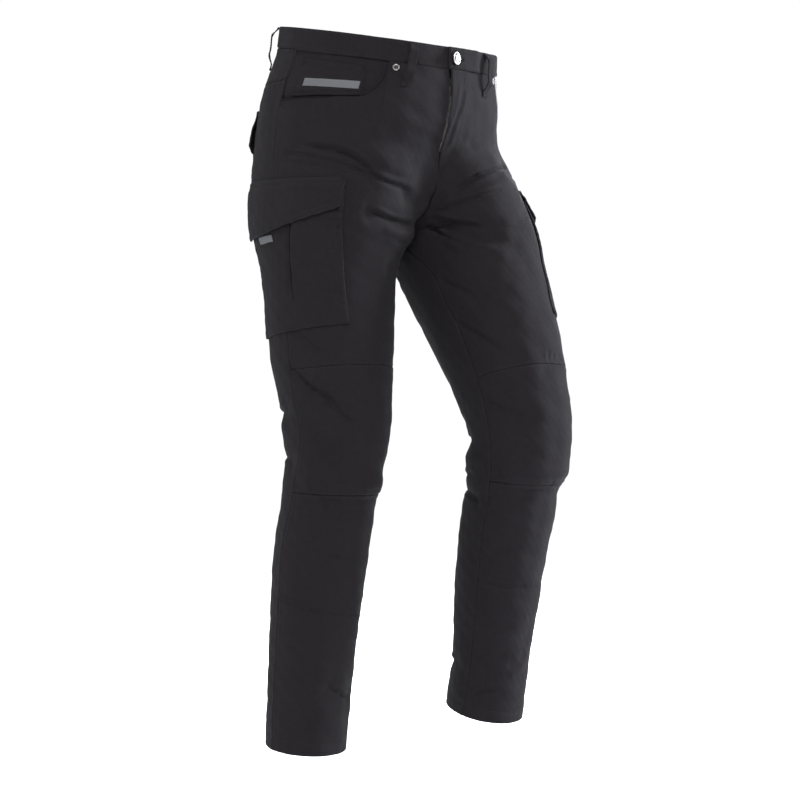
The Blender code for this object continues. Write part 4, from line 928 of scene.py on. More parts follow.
class Leg:
    """The cut panels of one side: front, knee, shin, back and yoke."""

    def __init__(self, half: Half) -> None:
        """Makes each panel's grid."""
        self.half, self.word = half, half.side.word
        self.turn: Cut | None = None
        self.front = self.make_front()
        self.knee = self.make_band("knee", half.seams.knee_top, half.seams.knee_base)
        self.shin = self.make_band("shin", half.seams.knee_base, half.seams.hem)
        self.back = self.make_back()
        self.yoke = self.make_yoke()
        self.cuts = [self.front, self.knee, self.shin, self.back, self.yoke]

    def make_front(self, step: float = 0.0022) -> Cut:
        """The front panel, from the pocket mouth and the band to the knee seam."""
        half = self.half
        last = float(half.front_angle(SIZE.band_seam))
        mouth = np.array(scoop_line(12) + [(last, SIZE.band_seam)])
        metric = np.array([0.0030, 1.0])
        columns = spaced(0.262, SEWN, TWIN, step)
        line = evenly(mouth * metric, 4000) / metric
        top = np.stack([np.interp(columns, np.linspace(0, 1, 4000), line[:, k]) for k in range(2)], -1)
        start = float(half.side_angle(SIZE.level))
        shares = (top[:, 0] - start) / (last - start)
        shares[0], shares[-1] = 0.0, 1.0
        upper = spaced(0.060, TWIN, PLAIN, step, 1)[:, None]
        lower = spaced(SIZE.level - half.seams.knee_top, PLAIN, TOPPED, step, 1)[1:, None]
        extra = (-(len(upper) + len(lower) - 1)) % 4
        if extra:
            lower = np.sort(np.concatenate([lower, (lower[20:20 + extra] + lower[21:21 + extra]) / 2]), axis=0)
        z_upper = top[:, 1] + (SIZE.level - top[:, 1]) * upper
        z_lower = SIZE.level + (half.seams.knee_top - SIZE.level) * lower + 0.0 * shares
        z = np.concatenate([z_upper, z_lower])
        even = ease(SIZE.level - 0.004, -0.190, z)
        share = shares + (columns - shares) * even
        first = half.side_angle(z)
        angle = first + (half.front_angle(z) - first) * share
        fade = np.concatenate([1.0 - upper, 0.0 * lower])
        angle = angle + (top[:, 0] - angle[0]) * fade
        z, angle = inset(half, z, angle)
        return Cut.made(f"front_thigh_{self.word}", half, z, angle, fly_gape(half, z, angle), SIZE.cloth,
                        Edges(PLAIN, TOPPED, SEWN, SEWN), fly_ridges(half, z, angle))

    def make_band(self, word: str, start: float, end: float, step: float = 0.0022) -> Cut:
        """The knee or the shin panel, from the side seam round the front to the inseam."""
        half = self.half
        base = KNEE_BASE if word == "knee" else HEM
        z = start + (end - start) * spaced(start - end, SEWN, base, step)[:, None]
        share = spaced(0.205, SEWN, SEWN, step)[None, :]
        first = half.side_angle(z)
        z, angle = inset(half, z, first + (half.front_angle(z) - first) * share)
        extra = None
        if word == "shin":
            gap = z - self.shin_line(angle)
            extra = -0.0006 * np.exp(-((gap / 0.0011) ** 2)) + 0.00035 * np.exp(-(((np.abs(gap) - 0.0042) / 0.0030) ** 2))
            extra += 0.00028 * np.sin(angle * 1.9 + 2.0 * np.sin(angle * 0.31)) * np.exp(-((gap / 0.0060) ** 2))
        return Cut.made(f"{word}_{self.word}", half, z, angle, 0.0, SIZE.cloth, Edges(SEWN, base, SEWN, SEWN), extra)

    def shin_line(self, angle: np.ndarray) -> np.ndarray:
        """The level of the line of stitches across the shin."""
        if self.half.side is Side.RIGHT:
            return -0.7730 - 0.0090 * (angle - 28.5) / 75.0
        return -0.7420 - 0.0010 * (166.0 - angle) / 84.0

    def make_back(self, step: float = 0.0026) -> Cut:
        """The back panel, from the yoke to the hem."""
        half = self.half
        share = spaced(0.262, SEWN, SEWN, step)[None, :]
        down = spaced(SIZE.yoke_side - half.seams.hem - 0.016, SEWN, HEM, step)[:, None]
        top = yoke_line(share)
        z = top + (half.seams.hem - top) * down
        first = half.side_angle(z)
        z, angle = inset(half, z, first + (half.back_angle(z) - first) * share)
        return Cut.made(f"back_{self.word}", half, z, angle, 0.0, SIZE.cloth, Edges(SEWN, HEM, SEWN, SEWN))

    def sew(self, thread: Sewing) -> None:
        """The rows of stitches on this leg's panels."""
        left = self.half.side is Side.LEFT
        thread.row(self.front.along("base", 0.0018))
        thread.row(self.knee.along("base", 0.0018))
        for cut in (self.shin, self.back):
            thread.row(cut.along("base", 0.0175))
        for cut in (self.knee, self.shin):
            thread.row(cut.along("end", 0.0018))
        thread.row(short(self.front.along("end", 0.0018), 0.0 if left else 0.62, 1.0))
        if left:
            thread.row(short(self.front.along("end", 0.0080), 0.36, 0.62))
        thread.row(self.yoke.along("base", 0.0018))
        thread.row(self.yoke.along("base", 0.0080))
        if left:
            for distance in (0.0018, 0.0080):
                thread.row(short(self.back.along("end", distance), 0.0, 0.24))
                thread.row(self.yoke.along("end", distance))
        angle = np.linspace(0.0, 1.0, 120)
        z = self.shin_line(90.0 + 0.0 * angle)
        start, end = self.half.side_angle(z), self.half.front_angle(z)
        angle = start + (end - start) * (0.008 + 0.984 * angle)
        thread.row(self.shin.on(self.half.places(self.shin_line(angle), angle)[0]))
        for distance in (0.0022, 0.0082):
            thread.row(self.mouth_row(distance))
        for angle, z in ((-4.2, SIZE.scoop_side), (SIZE.scoop_end + 0.5, SIZE.band_seam - 0.003)):
            down = np.linspace(0.0, 0.0095, 8)
            thread.bar(self.front.on(self.half.places(z - 0.0008 - down, angle + 0.4 + 0.0 * down)[0]))
        if left:
            self.sew_fly(thread)

    def mouth_row(self, distance: float) -> Line:
        """A row beside the pocket mouth, at a distance in from its edge."""
        mouth = evenly(np.array(scoop_line(12)) * (0.0030, 1.0), 160) / (0.0030, 1.0)
        line = self.half.places(mouth[:, 1], mouth[:, 0])
        side = -1.0 if self.half.side is Side.RIGHT else 1.0
        moved = beside(line, -side * distance)
        moved = moved[2:-2][np.concatenate([[True], np.diff(moved[2:-2], axis=0)[:, 0] * -self.half.side.value > -1e-4])]
        return self.front.on(moved)

    def sew_fly(self, thread: Sewing) -> None:
        """The two rows that hold the fly's facing, straight down and then round to its foot."""
        for x in (0.0150, 0.0210):
            t = np.linspace(0.0, 1.0, 90)
            z = SIZE.band_seam - 0.0015 + (SIZE.fly_base - 0.004 - SIZE.band_seam) * t
            turn = ease(-0.128 - (x - 0.0150), SIZE.fly_base - 0.001, z)
            place = x + (-0.0030 - x) * turn**1.6
            angle = self.half.angle_at(z, place)
            thread.row(self.front.on(self.half.places(z, angle)[0]))
        down = np.linspace(-0.166, -0.178, 10)
        thread.bar(self.front.on(self.half.places(down, self.half.front_angle(down) - 1.4)[0]))

    def hem_turn(self, cloth: bpy.types.Material) -> bpy.types.Object:
        """The cloth turned up inside the hem, all the way round."""
        share = np.linspace(0.0, 1.0, 161)[None, :]
        z = self.half.seams.hem + 0.0007 + 0.0190 * np.linspace(1.0, 0.0, 13)[:, None]
        end = self.half.front_angle(z)
        angle = end - 1.0 + (-358.0) * share
        cut = Cut.made(f"hem_turn_{self.word}", self.half, z, angle, -SIZE.cloth - 0.0002, 0.0014,
                       Edges(PLAIN, PLAIN, PLAIN, PLAIN))
        piece = cut.shell(cloth)
        self.turn = cut
        return piece

    def allowance(self, word: str, z: np.ndarray, angle: np.ndarray) -> Cut:
        """One allowance, pressed flat on the inside of a seam."""
        return Cut.made(f"allowance_{word}_{self.word}", self.half, z, angle, -SIZE.cloth - SIZE.layer_gap, 0.0006,
                        Edges(PLAIN, PLAIN, PLAIN, PLAIN))

    def make_allowances(self) -> list[Cut]:
        """The pressed allowances that close this leg's seams from inside.

        Returns:
            One strip for each seam.
        """
        half, seams, wide = self.half, self.half.seams, 0.0056
        hem = seams.hem + 0.0215
        both = np.linspace(-wide, wide, 5)
        found = []
        for word, top, foot, line, across in (
                ("side", -0.145, hem, half.side_angle, both),
                ("inner", SIZE.crotch - 0.001, hem, half.front_angle, both)):
            z = np.linspace(top, foot, 161)[:, None]
            pace = np.linalg.norm(half.bare(z, line(z) + 0.5) - half.bare(z, line(z) - 0.5), axis=-1)
            found.append(self.allowance(word, z, line(z) + across / pace))
        down, share = np.linspace(wide, -wide, 5)[:, None], np.linspace(0.006, 0.982, 81)[None, :]
        for word, level, last in (("yoke", yoke_line(share), half.back_angle),
                                  ("band", SIZE.band_seam - 0.0025 + 0.0 * share, half.back_angle),
                                  ("knee_top", seams.knee_top + 0.0 * share, half.front_angle),
                                  ("knee_base", seams.knee_base + 0.0 * share, half.front_angle)):
            z = level + down
            first = half.side_angle(z)
            found.append(self.allowance(word, z, first + (last(z) - first) * share))
        return found

    def make_yoke(self, step: float = 0.0024) -> Cut:
        """The yoke, from the band to the back panel."""
        half = self.half
        share = spaced(0.262, SEWN, SEWN, step)[None, :]
        z = SIZE.band_seam + (yoke_line(share) - SIZE.band_seam) * spaced(0.052, SEWN, TWIN, step)[:, None]
        first = half.side_angle(z)
        z, angle = inset(half, z, first + (half.back_angle(z) - first) * share)
        return Cut.made(f"yoke_{self.word}", half, z, angle, 0.0, SIZE.cloth, Edges(SEWN, TWIN, SEWN, SEWN))


@dataclass(frozen=True)
class StitchSize:
    """Sizes of one stitch of thread as it lies on the cloth."""

    length: float = 0.0030
    pitch: float = 0.0039
    wide: float = 0.00066
    high: float = 0.00038
    bar_pitch: float = 0.00072


Line = tuple[np.ndarray, np.ndarray]


class Sewing:
    """Rows of stitches and close bars of thread, gathered into one mesh."""

    def __init__(self, name: str, material: bpy.types.Material, size: StitchSize) -> None:
        """Starts with no thread."""
        self.name, self.material, self.size = name, material, size
        self.threads: list[np.ndarray] = []

    def lay(self, middle: np.ndarray, ahead: np.ndarray, out: np.ndarray, length: np.ndarray | float) -> None:
        """Lays short threads, each rounded on top and sunk at both ends.

        Args:
            middle: the middle of each thread.
            ahead: the direction each runs in.
            out: the direction out of the cloth.
            length: how long each is.
        """
        half = (np.asarray(length, float) / 2 + 0.0 * middle[:, 0])[:, None]
        side = np.cross(ahead, out) * self.size.wide / 2
        top, sunk = out * self.size.high, -out * self.size.high * 0.4
        rows = [middle - ahead * half + sunk]
        for share in (-0.62, 0.62):
            ring = middle + ahead * half * share
            rows += [ring - side + sunk * 0.4, ring + top, ring + side + sunk * 0.4]
        rows.append(middle + ahead * half + sunk)
        self.threads.append(np.stack(rows, axis=1))

    @staticmethod
    def read(line: Line, want: np.ndarray) -> tuple[np.ndarray, np.ndarray, np.ndarray]:
        """The places, directions ahead and directions out at distances along a line."""
        points, out = line
        length = np.concatenate([[0.0], np.cumsum(np.linalg.norm(np.diff(points, axis=0), axis=1))])
        at = [np.stack([np.interp(want + d, length, points[:, k]) for k in range(3)], -1) for d in (-8e-4, 0.0, 8e-4)]
        normal = np.stack([np.interp(want, length, out[:, k]) for k in range(3)], -1)
        ahead = unit(at[2] - at[0])
        return at[1], ahead, unit(normal - ahead * (normal * ahead).sum(-1, keepdims=True))

    def row(self, line: Line) -> None:
        """A row of stitches along a line."""
        total = float(np.linalg.norm(np.diff(line[0], axis=0), axis=1).sum())
        count = max(1, round(total / self.size.pitch))
        number = np.arange(count)
        middle, ahead, out = self.read(line, (number + 0.5) * total / count)
        self.lay(middle, ahead, out, self.size.length * (1.0 + 0.07 * np.sin(2.4 * number)))

    def bar(self, line: Line, wide: float = 0.0024) -> None:
        """A bar of close threads across a short line."""
        total = float(np.linalg.norm(np.diff(line[0], axis=0), axis=1).sum())
        count = max(2, round(total / self.size.bar_pitch))
        number = np.arange(count)
        middle, ahead, out = self.read(line, (number + 0.5) * total / count)
        across = unit(np.cross(out, ahead) + 0.18 * np.where(number % 2 == 0, 1.0, -1.0)[:, None] * ahead)
        self.lay(middle + out * 0.0001, across, out, wide * (1.0 + 0.06 * np.sin(1.9 * number)))

    def finish(self) -> bpy.types.Object:
        """Builds the mesh of all the threads."""
        threads = np.concatenate(self.threads)
        one = ((0, 2, 1), (0, 3, 2), (0, 1, 3), (1, 2, 5, 4), (2, 3, 6, 5), (3, 1, 4, 6), (7, 4, 5), (7, 5, 6), (7, 6, 4))
        faces = [tuple(8 * i + k for k in face) for i in range(len(threads)) for face in one]
        piece = solid(self.name, threads.reshape(-1, 3), faces, self.material, sharp=180.0)
        LOG.info("%s: %d stitches", self.name, len(threads))
        return piece


def short(line: Line, start: float, stop: float) -> Line:
    """The part of a line between two shares of its points."""
    count = len(line[0]) - 1
    first, last = round(start * count), max(round(start * count) + 1, round(stop * count))
    return line[0][first:last + 1], line[1][first:last + 1]


def beside(line: Line, distance: float) -> np.ndarray:
    """A line moved sideways over the cloth by a distance, to its left as seen from outside."""
    points, out = line
    ahead = unit(np.gradient(points, axis=0))
    return points + unit(np.cross(out, ahead)) * distance


@dataclass(frozen=True)
class PocketSize:
    """Sizes of the pocket mouth's facing and the coin pocket in it."""

    facing_end: float = 60.0
    facing_deep: float = 0.012
    facing_cloth: float = 0.0012
    coin_cloth: float = 0.0009
    coin_top: float = -0.0205
    coin_margin: float = 0.0022
    coin_side: float = 3.0
    coin_front: float = 41.5
    strip_cloth: float = 0.0003
    strip_deep: float = 0.0108
    strip_side: float = 9.0
    strip_front: float = 40.0
    strip_side_top: float = -0.0465
    strip_front_top: float = -0.0425

    @property
    def coin_lift(self) -> float:
        """How far the coin pocket's outer face is from the garment's surface."""
        return UNDER + 2 * SIZE.layer_gap + self.coin_cloth


class HipPocket:
    """What shows in a pocket mouth: the facing, and on the right the coin pocket and its bare grey strip."""

    def __init__(self, half: Half, size: PocketSize) -> None:
        """Makes each piece's grid."""
        self.half, self.size = half, size
        self.facing = self.make_facing()
        self.cuts = [self.facing]
        if half.side is Side.RIGHT:
            self.coin = self.make_coin()
            self.strip = self.make_strip()
            self.cuts += [self.coin, self.strip]

    def make_facing(self) -> Cut:
        """The cloth that shows inside the mouth and runs a little way down behind its edge."""
        size = self.size
        angle = np.linspace(-5.0, size.facing_end, 73)[None, :]
        deep = np.interp(angle, [-5.0, SIZE.scoop_turn, size.facing_end],
                         [SIZE.scoop_side - size.facing_deep, SIZE.scoop_front - size.facing_deep,
                          SIZE.scoop_front + size.facing_deep])
        z = SIZE.band_seam + (deep - SIZE.band_seam) * np.linspace(0.0, 1.0, 29)[:, None]
        z, angle = inset(self.half, z, angle + 0 * z)
        return Cut.made(f"pocket_facing_{self.half.side.word}", self.half, z, angle, UNDER, size.facing_cloth,
                        Edges(PLAIN, PLAIN, PLAIN, PLAIN))

    def make_coin(self) -> Cut:
        """A small patch on the facing that ends behind the pocket mouth."""
        size = self.size
        angle = (size.coin_side + (size.coin_front - size.coin_side) * spaced(0.108, TOPPED, TOPPED, 0.0020))[None, :]
        mouth = scoop_line(9)
        bottom = np.interp(angle, [a for a, _ in mouth], [z for _, z in mouth]) + size.coin_margin
        z = size.coin_top + (bottom - size.coin_top) * spaced(0.045, TWIN, PLAIN, 0.0020)[:, None]
        return Cut.made("coin_pocket", self.half, z, angle + 0 * z, size.coin_lift, size.coin_cloth,
                        Edges(PLAIN, PLAIN, PLAIN, PLAIN))

    def sew(self, thread: Sewing) -> None:
        """The rows of stitches on the coin pocket."""
        if self.half.side is Side.LEFT:
            return
        for edge in ("start", "end"):
            thread.row(self.coin.along(edge, 0.0018))
        thread.row(self.coin.along("end", 0.0050))
        thread.row(self.coin.along("top", 0.0018))
        thread.row(self.coin.along("top", 0.0080))
        for edge in ("start", "end"):
            for start in (0.01, 0.16):
                thread.bar(short(self.coin.along(edge, 0.0030), start, start + 0.07), 0.0050)

    def make_strip(self) -> Cut:
        """The bare woven strip across the coin pocket."""
        size = self.size
        angle = np.linspace(size.strip_side, size.strip_front, 49)[None, :]
        top = np.interp(angle, [size.strip_side, size.strip_front], [size.strip_side_top, size.strip_front_top])
        z = top - size.strip_deep * np.linspace(0.0, 1.0, 9)[:, None]
        lift = size.coin_lift + SIZE.layer_gap + size.strip_cloth
        return Cut.made("coin_strip", self.half, z, angle + 0 * z, lift, size.strip_cloth,
                        Edges(PLAIN, PLAIN, PLAIN, PLAIN))


@dataclass(frozen=True)
class CargoSize:
    """Sizes of the thigh pocket, its pleat, its flap and its tag."""

    top: float = -0.205
    base: float = -0.396
    back: float = -42.0
    slant: float = 0.006
    pleat: float = 14.0
    pleat_fold: float = 1.4
    pleat_tuck: float = 2.2
    pleat_lap: float = 1.0
    pleat_rise: float = 0.0030
    rise: float = 0.0032
    flap_top: float = -0.188
    flap_front: float = 48.5
    flap_top_front: float = 45.5
    flap_overhang: float = 2.0
    flap_stand_off: float = 0.0018
    tag_cloth: float = 0.0008


class CargoPocket:
    """A thigh pocket with its flap, and on the right a bare grey tag."""

    def __init__(self, half: Half, size: CargoSize) -> None:
        """Makes each piece's grid."""
        self.half, self.size = half, size
        self.body = self.make_body()
        self.flap = self.make_flap()
        self.cuts = [self.body, self.flap]
        if half.side is Side.RIGHT:
            self.tag = self.make_tag()
            self.cuts.append(self.tag)

    def front(self, z: np.ndarray) -> np.ndarray:
        """The pocket's front edge, which leans forward down the thigh."""
        return np.interp(-z, [-self.size.flap_top, 0.300, -self.size.base], [43.0, 56.5, 64.0])

    def lift(self, z: np.ndarray, angle: np.ndarray, step: float = 0.0) -> np.ndarray:
        """The pocket lies flat at its edges and swells towards the pleat, more on its front part.

        Args:
            z: the level of each place.
            angle: the angle of each place.
            step: how many degrees before the pleat the rise to the front part begins.

        Returns:
            How far the pocket's outer face is from the garment's surface.
        """
        size = self.size
        down = ease(size.top, -0.240, z) * (1.0 - ease(-0.355, size.base, z))
        over = ease(size.pleat - step, size.pleat + size.pleat_fold, angle)
        front = ease(64.0, 36.0, angle) * over
        back = ease(size.back, -8.0, angle) * (1.0 - over)
        return ON_PANEL + down * size.rise * (front + 0.4 * back)

    def pleat_angle(self, z: np.ndarray) -> np.ndarray:
        """Where the pleat's edge runs: straight down, then forward to its foot."""
        return np.interp(-z, [-self.size.top, 0.300, 0.345, -self.size.base], [14.3, 13.2, 14.6, 24.0])

    def make_body(self, step: float = 0.0022) -> Cut:
        """The pocket's body, with the pleat's fold edge down its middle."""
        size = self.size
        down = spaced(size.top - size.base, PLAIN, TOPPED, step)[:, None]
        z = size.top + (size.base - size.top) * down
        back_share = spaced(0.136, TWIN, PLAIN, step, 1)
        front_share = spaced(0.112, PLAIN, TWIN, step, 1)
        count = 17 + (-(len(back_share) + len(front_share) + 14)) % 4
        fold_share = np.linspace(0.0, 1.0, count)[1:-1]
        open_ = ease(-0.237, -0.262, z) * (1.0 - ease(-0.318, -0.350, z))
        pleat = self.pleat_angle(z)
        back_end = pleat + (size.pleat_tuck - 1.0) * open_ - 0.5
        front_start = pleat + 0.9 * (1.0 - open_) - 0.2
        back = size.back + (back_end - size.back) * back_share
        front = front_start + (self.front(z) - front_start) * front_share
        out_ = back_end + (size.pleat_tuck - 1.2) * open_ * np.sin(math.pi * np.clip(2.0 * fold_share, 0.0, 1.0))
        home = out_ + (front_start - 0.7 * open_ - out_) * ease(0.35, 0.85, fold_share)
        fold_ = home + (front_start - home) * ease(0.85, 1.0, fold_share)
        angle = np.concatenate([back, fold_, front], axis=1)
        rise_share = np.concatenate([0.0 * back_share, ease(0.10, 0.92, fold_share), 1.0 + 0.0 * front_share])
        lift = self.lift(z, np.concatenate([back, pleat - 0.5 + (size.pleat_fold + 0.5) * fold_share, front], axis=1))
        fall = np.concatenate([0.0 * back_share, 0.0 * fold_share, front_share])
        lift = lift + size.pleat_rise * open_ * rise_share * (1.0 - ease(0.0, 0.55, fall))
        dip = np.concatenate([ease(0.70, 1.0, back_share), 1.0 - ease(0.0, 0.5, fold_share), 0.0 * front_share])
        lift = lift - 0.0007 * open_ * dip
        z = z + size.slant * (angle - 60.0) / 100.0 * ((size.top - z) / (size.top - size.base))
        return Cut.made(f"cargo_pocket_{self.half.side.word}", self.half, z, angle, lift, SIZE.cloth,
                        Edges(PLAIN, TOPPED, TWIN, TWIN), folded=True)

    def flap_base(self, angle: np.ndarray) -> np.ndarray:
        """The flap's lower edge, a slant from its short front edge to the deep rear one."""
        slant = np.interp(angle, [self.size.back, -16.0, 15.0, 37.0, 47.0], [-0.268, -0.2645, -0.2510, -0.2385, -0.2325])
        corner = np.clip((angle - 42.0) / 5.0, 0.0, 1.0)
        return slant + 0.0050 * (1.0 - np.sqrt(1.0 - corner**2))

    def make_flap(self, step: float = 0.0021) -> Cut:
        """The flap, sewn along its top and standing off the pocket at its lower edge."""
        size = self.size
        share = spaced(0.245, TWIN, TWIN, step)[None, :]
        down = spaced(0.058, TWIN, TWIN, step)[:, None]
        rear = size.back - size.flap_overhang
        angle = rear + (size.flap_front - size.back) * share + 0 * down
        angle = angle - (size.flap_front - size.flap_top_front) * (1.0 - down) * share
        z = size.flap_top + (self.flap_base(angle) - size.flap_top) * down
        rise = ease(size.flap_top - 0.004, size.top + 0.002, z)
        under = self.lift(np.minimum(z, size.top), angle, 26.0)
        return Cut.made(f"cargo_flap_{self.half.side.word}", self.half, z, angle,
                        ON_PANEL + rise * under + size.flap_stand_off * down, SIZE.cloth,
                        Edges(TWIN, TWIN, TWIN, TWIN))

    def sew(self, thread: Sewing) -> None:
        """The rows of stitches round the pocket and its flap."""
        for edge in ("start", "base", "end"):
            thread.row(self.body.along(edge, 0.0018))
        for edge in ("start", "end"):
            thread.row(self.body.along(edge, 0.0080))
        for edge in ("top", "start", "base", "end"):
            thread.row(short(self.flap.along(edge, 0.0018), 0.01, 0.99))
        for edge in ("top", "start", "base", "end"):
            thread.row(short(self.flap.along(edge, 0.0080), 0.04, 0.96))
        for edge in ("start", "end"):
            for start in (0.17, 0.27):
                thread.bar(short(self.body.along(edge, 0.0050), start, start + 0.018), 0.0080)
            thread.bar(short(self.body.along(edge, 0.0050), 0.955, 0.985), 0.0080)
        for share in (0.025, 0.955):
            thread.bar(short(self.flap.along("top", 0.0048), share, share + 0.015), 0.0080)

    def make_tag(self) -> Cut:
        """A folded grey tag caught under the flap at the pocket's rear."""
        share = np.linspace(0.0, 1.0, 25)[None, :]
        down = np.linspace(0.0, 1.0, 9)[:, None]
        top = -0.2660 + 0.0010 * share
        base = -0.2760 + 0.0020 * share
        z = top + (base - top) * down
        angle = -24.0 + 18.0 * share + down * (1.0 - 0.5 * share)
        lift = self.lift(z, angle) + SIZE.layer_gap + self.size.tag_cloth
        return Cut.made("cargo_tag_right", self.half, z, angle, lift, self.size.tag_cloth,
                        Edges(PLAIN, PLAIN, PLAIN, PLAIN))


@dataclass(frozen=True)
class SeatPocketSize:
    """Sizes of a back pocket and its flap."""

    inner: float = -80.0
    outer: float = -41.0
    top: float = -0.118
    base: float = -0.230
    point: float = 0.014
    taper: float = 11.0
    swell: float = 0.0015
    flap_inset: float = 1.5
    flap_top: float = -0.094
    flap_slant: float = 0.006
    flap_deep: float = 0.046
    flap_point: float = 0.010
    flap_stand_off: float = 0.0022


class SeatPocket:
    """A patch pocket on the seat with its pointed flap."""

    def __init__(self, half: Half, size: SeatPocketSize) -> None:
        """Makes both pieces' grids."""
        self.half, self.size = half, size
        self.patch = self.make_patch()
        self.flap = self.make_flap()
        self.cuts = [self.patch, self.flap]

    def make_patch(self, step: float = 0.0023) -> Cut:
        """The patch, with a shallow point at its base."""
        size = self.size
        share = spaced(0.120, TWIN, TWIN, step)[None, :]
        down = spaced(0.118, PLAIN, TWIN, step)[:, None]
        angle = size.outer + (size.inner - size.outer) * share
        angle = angle - size.taper * down * (1.0 - share)
        base = size.base - size.point * (1.0 - np.abs(2.0 * share - 1.0))
        z = size.top + (base - size.top) * down
        swell = size.swell * np.sin(math.pi * share) * ease(0.0, 0.3, down) * (1.0 - ease(0.7, 1.0, down))
        return Cut.made(f"back_pocket_{self.half.side.word}", self.half, z, angle + 0 * z, ON_PANEL + swell,
                        SIZE.cloth, Edges(PLAIN, TWIN, TWIN, TWIN))

    def sew(self, thread: Sewing) -> None:
        """The rows of stitches round the patch and its flap."""
        for edge in ("start", "base", "end"):
            for distance in (0.0018, 0.0080):
                thread.row(short(self.patch.along(edge, distance), 0.03, 0.97))
        for edge in ("top", "start", "base", "end"):
            for distance in (0.0018, 0.0080):
                thread.row(short(self.flap.along(edge, distance), 0.03, 0.97))
        for share in (0.02, 0.95):
            thread.bar(short(self.flap.along("top", 0.0048), share, share + 0.03), 0.0080)

    def make_flap(self, step: float = 0.0022) -> Cut:
        """The flap, its free edge standing off."""
        size = self.size
        share = spaced(0.116, TWIN, TWIN, step)[None, :]
        down = spaced(0.052, TWIN, TWIN, step)[:, None]
        start, end = size.outer + size.flap_inset, size.inner - size.flap_inset
        angle = start + (end - start) * share
        top = size.flap_top - size.flap_slant * share
        base = top - size.flap_deep - size.flap_point * (1.0 - np.abs(2.0 * share - 1.0))
        z = top + (base - top) * down
        over = ease(size.flap_top - size.flap_slant, size.top + 0.002, z)
        lift = ON_PANEL + over * (SIZE.cloth + size.flap_stand_off) + size.flap_stand_off * down**2
        return Cut.made(f"back_flap_{self.half.side.word}", self.half, z, angle + 0 * z, lift, SIZE.cloth,
                        Edges(TWIN, TWIN, TWIN, TWIN))


@dataclass(frozen=True)
class Loop:
    """A belt loop: its node, its side and the angles of its top and foot."""

    name: str
    side: Side
    angle: float
    foot_angle: float


LOOPS = (
    Loop("belt_loop_front_right", Side.RIGHT, 64.5, 61.0),
    Loop("belt_loop_side_right", Side.RIGHT, -38.0, -38.5),
    Loop("belt_loop_front_left", Side.LEFT, 66.0, 68.0),
    Loop("belt_loop_side_left", Side.LEFT, -38.0, -38.5),
    Loop("belt_loop_back", Side.LEFT, -90.0, -90.0),
)


@dataclass(frozen=True)
class LoopSize:
    """Sizes of a belt loop."""

    half_wide: float = 0.0063
    foot: float = -0.042
    cloth: float = 0.0016
    bow: float = 0.0082


class Waist:
    """The waistband and its belt loops."""

    def __init__(self, halves: dict[Side, Half], size: LoopSize) -> None:
        """Makes each piece's grid."""
        self.halves, self.size = halves, size
        self.band = self.make_band()
        self.loops = {loop.name: self.make_loop(loop) for loop in LOOPS}
        self.cuts = [self.band, *self.loops.values()]

    def make_band(self, step: float = 0.0024) -> Cut:
        """One strip all round, its left end lapping over the right end at the front."""
        left = self.halves[Side.LEFT]
        start = float(left.angle_at(0.0, -SIZE.band_end))
        end = float(left.angle_at(0.0, SIZE.band_tongue)) - 360.0
        angle = (start + (end - start) * spaced(0.980, TWIN, TWIN, step))[None, :]
        z = SIZE.band_top + (SIZE.band_seam + SIZE.seam_gap - SIZE.band_top) * spaced(0.038, TOPPED, TOPPED, 0.0022)[:, None]
        lift = SIZE.band_lift + SIZE.band_lap_lift * ease(70.5, 77.5, angle)
        return Cut.made("waistband", left, z, angle + 0 * z, lift + 0 * z, SIZE.band_cloth,
                        Edges(TOPPED, TOPPED, TOPPED, PLAIN))

    def make_loop(self, loop: Loop) -> Cut:
        """A strap from the band's top edge to just below its seam, bowed out for the belt."""
        half, size = self.halves[loop.side], self.size
        down = spaced(0.062, TOPPED, TOPPED, 0.0016)[:, None]
        z = SIZE.band_top - 0.001 + (size.foot - SIZE.band_top + 0.001) * down
        middle = loop.angle + (loop.foot_angle - loop.angle) * down
        pace = np.linalg.norm(half.bare(z, middle + 0.5) - half.bare(z, middle - 0.5), axis=-1)
        share = np.array([-1.0, -0.95, -0.86, -0.68, -0.34, 0.0, 0.34, 0.68, 0.86, 0.95, 1.0, 1.0])[None, :11]
        share = np.concatenate([share[:, :1], [[-0.975]], share[:, 1:-1], [[0.975]], share[:, -1:]], axis=1)
        angle = middle + share * size.half_wide / pace
        rest = np.interp(down, [0.0, 0.68, 0.86, 1.0], [SIZE.band_lift, SIZE.band_lift, 0.0, 0.0]) + SIZE.layer_gap
        bow = size.bow * ease(0.0, 0.22, down) * (1.0 - ease(0.66, 0.94, down))
        return Cut.made(loop.name, half, z, angle, rest + bow + size.cloth, size.cloth,
                        Edges(SEWN, SEWN, PLAIN, PLAIN))


    def sew(self, thread: Sewing) -> None:
        """The rows of stitches on the band and its loops."""
        thread.row(self.band.along("top", 0.0018))
        thread.row(self.band.along("base", 0.0018))
        for distance in (0.0018, 0.0066):
            thread.row(short(self.band.along("start", distance), 0.06, 0.94))
        for cut in self.loops.values():
            for edge in ("start", "end"):
                thread.row(short(cut.along(edge, 0.0016), 0.02, 0.98))
            for start, stop in ((0.02, 0.055), (0.945, 0.985)):
                thread.bar(short(cut.across(0.5), start, stop), 0.0110)
        self.sew_buttonhole(thread)

    def sew_buttonhole(self, thread: Sewing) -> None:
        """The close threads round the buttonhole, which runs back from the button."""
        left = self.halves[Side.LEFT]
        for z in (StudSize().button_z - 0.0013, StudSize().button_z + 0.0013):
            x = np.linspace(-0.0135, 0.0120, 24)
            angle = left.angle_at(z + 0.0 * x, x)
            points, out = left.places(z + 0.0 * x, angle)
            thread.bar(self.band.on(points + out * (SIZE.band_lift + SIZE.band_lap_lift)), 0.0020)


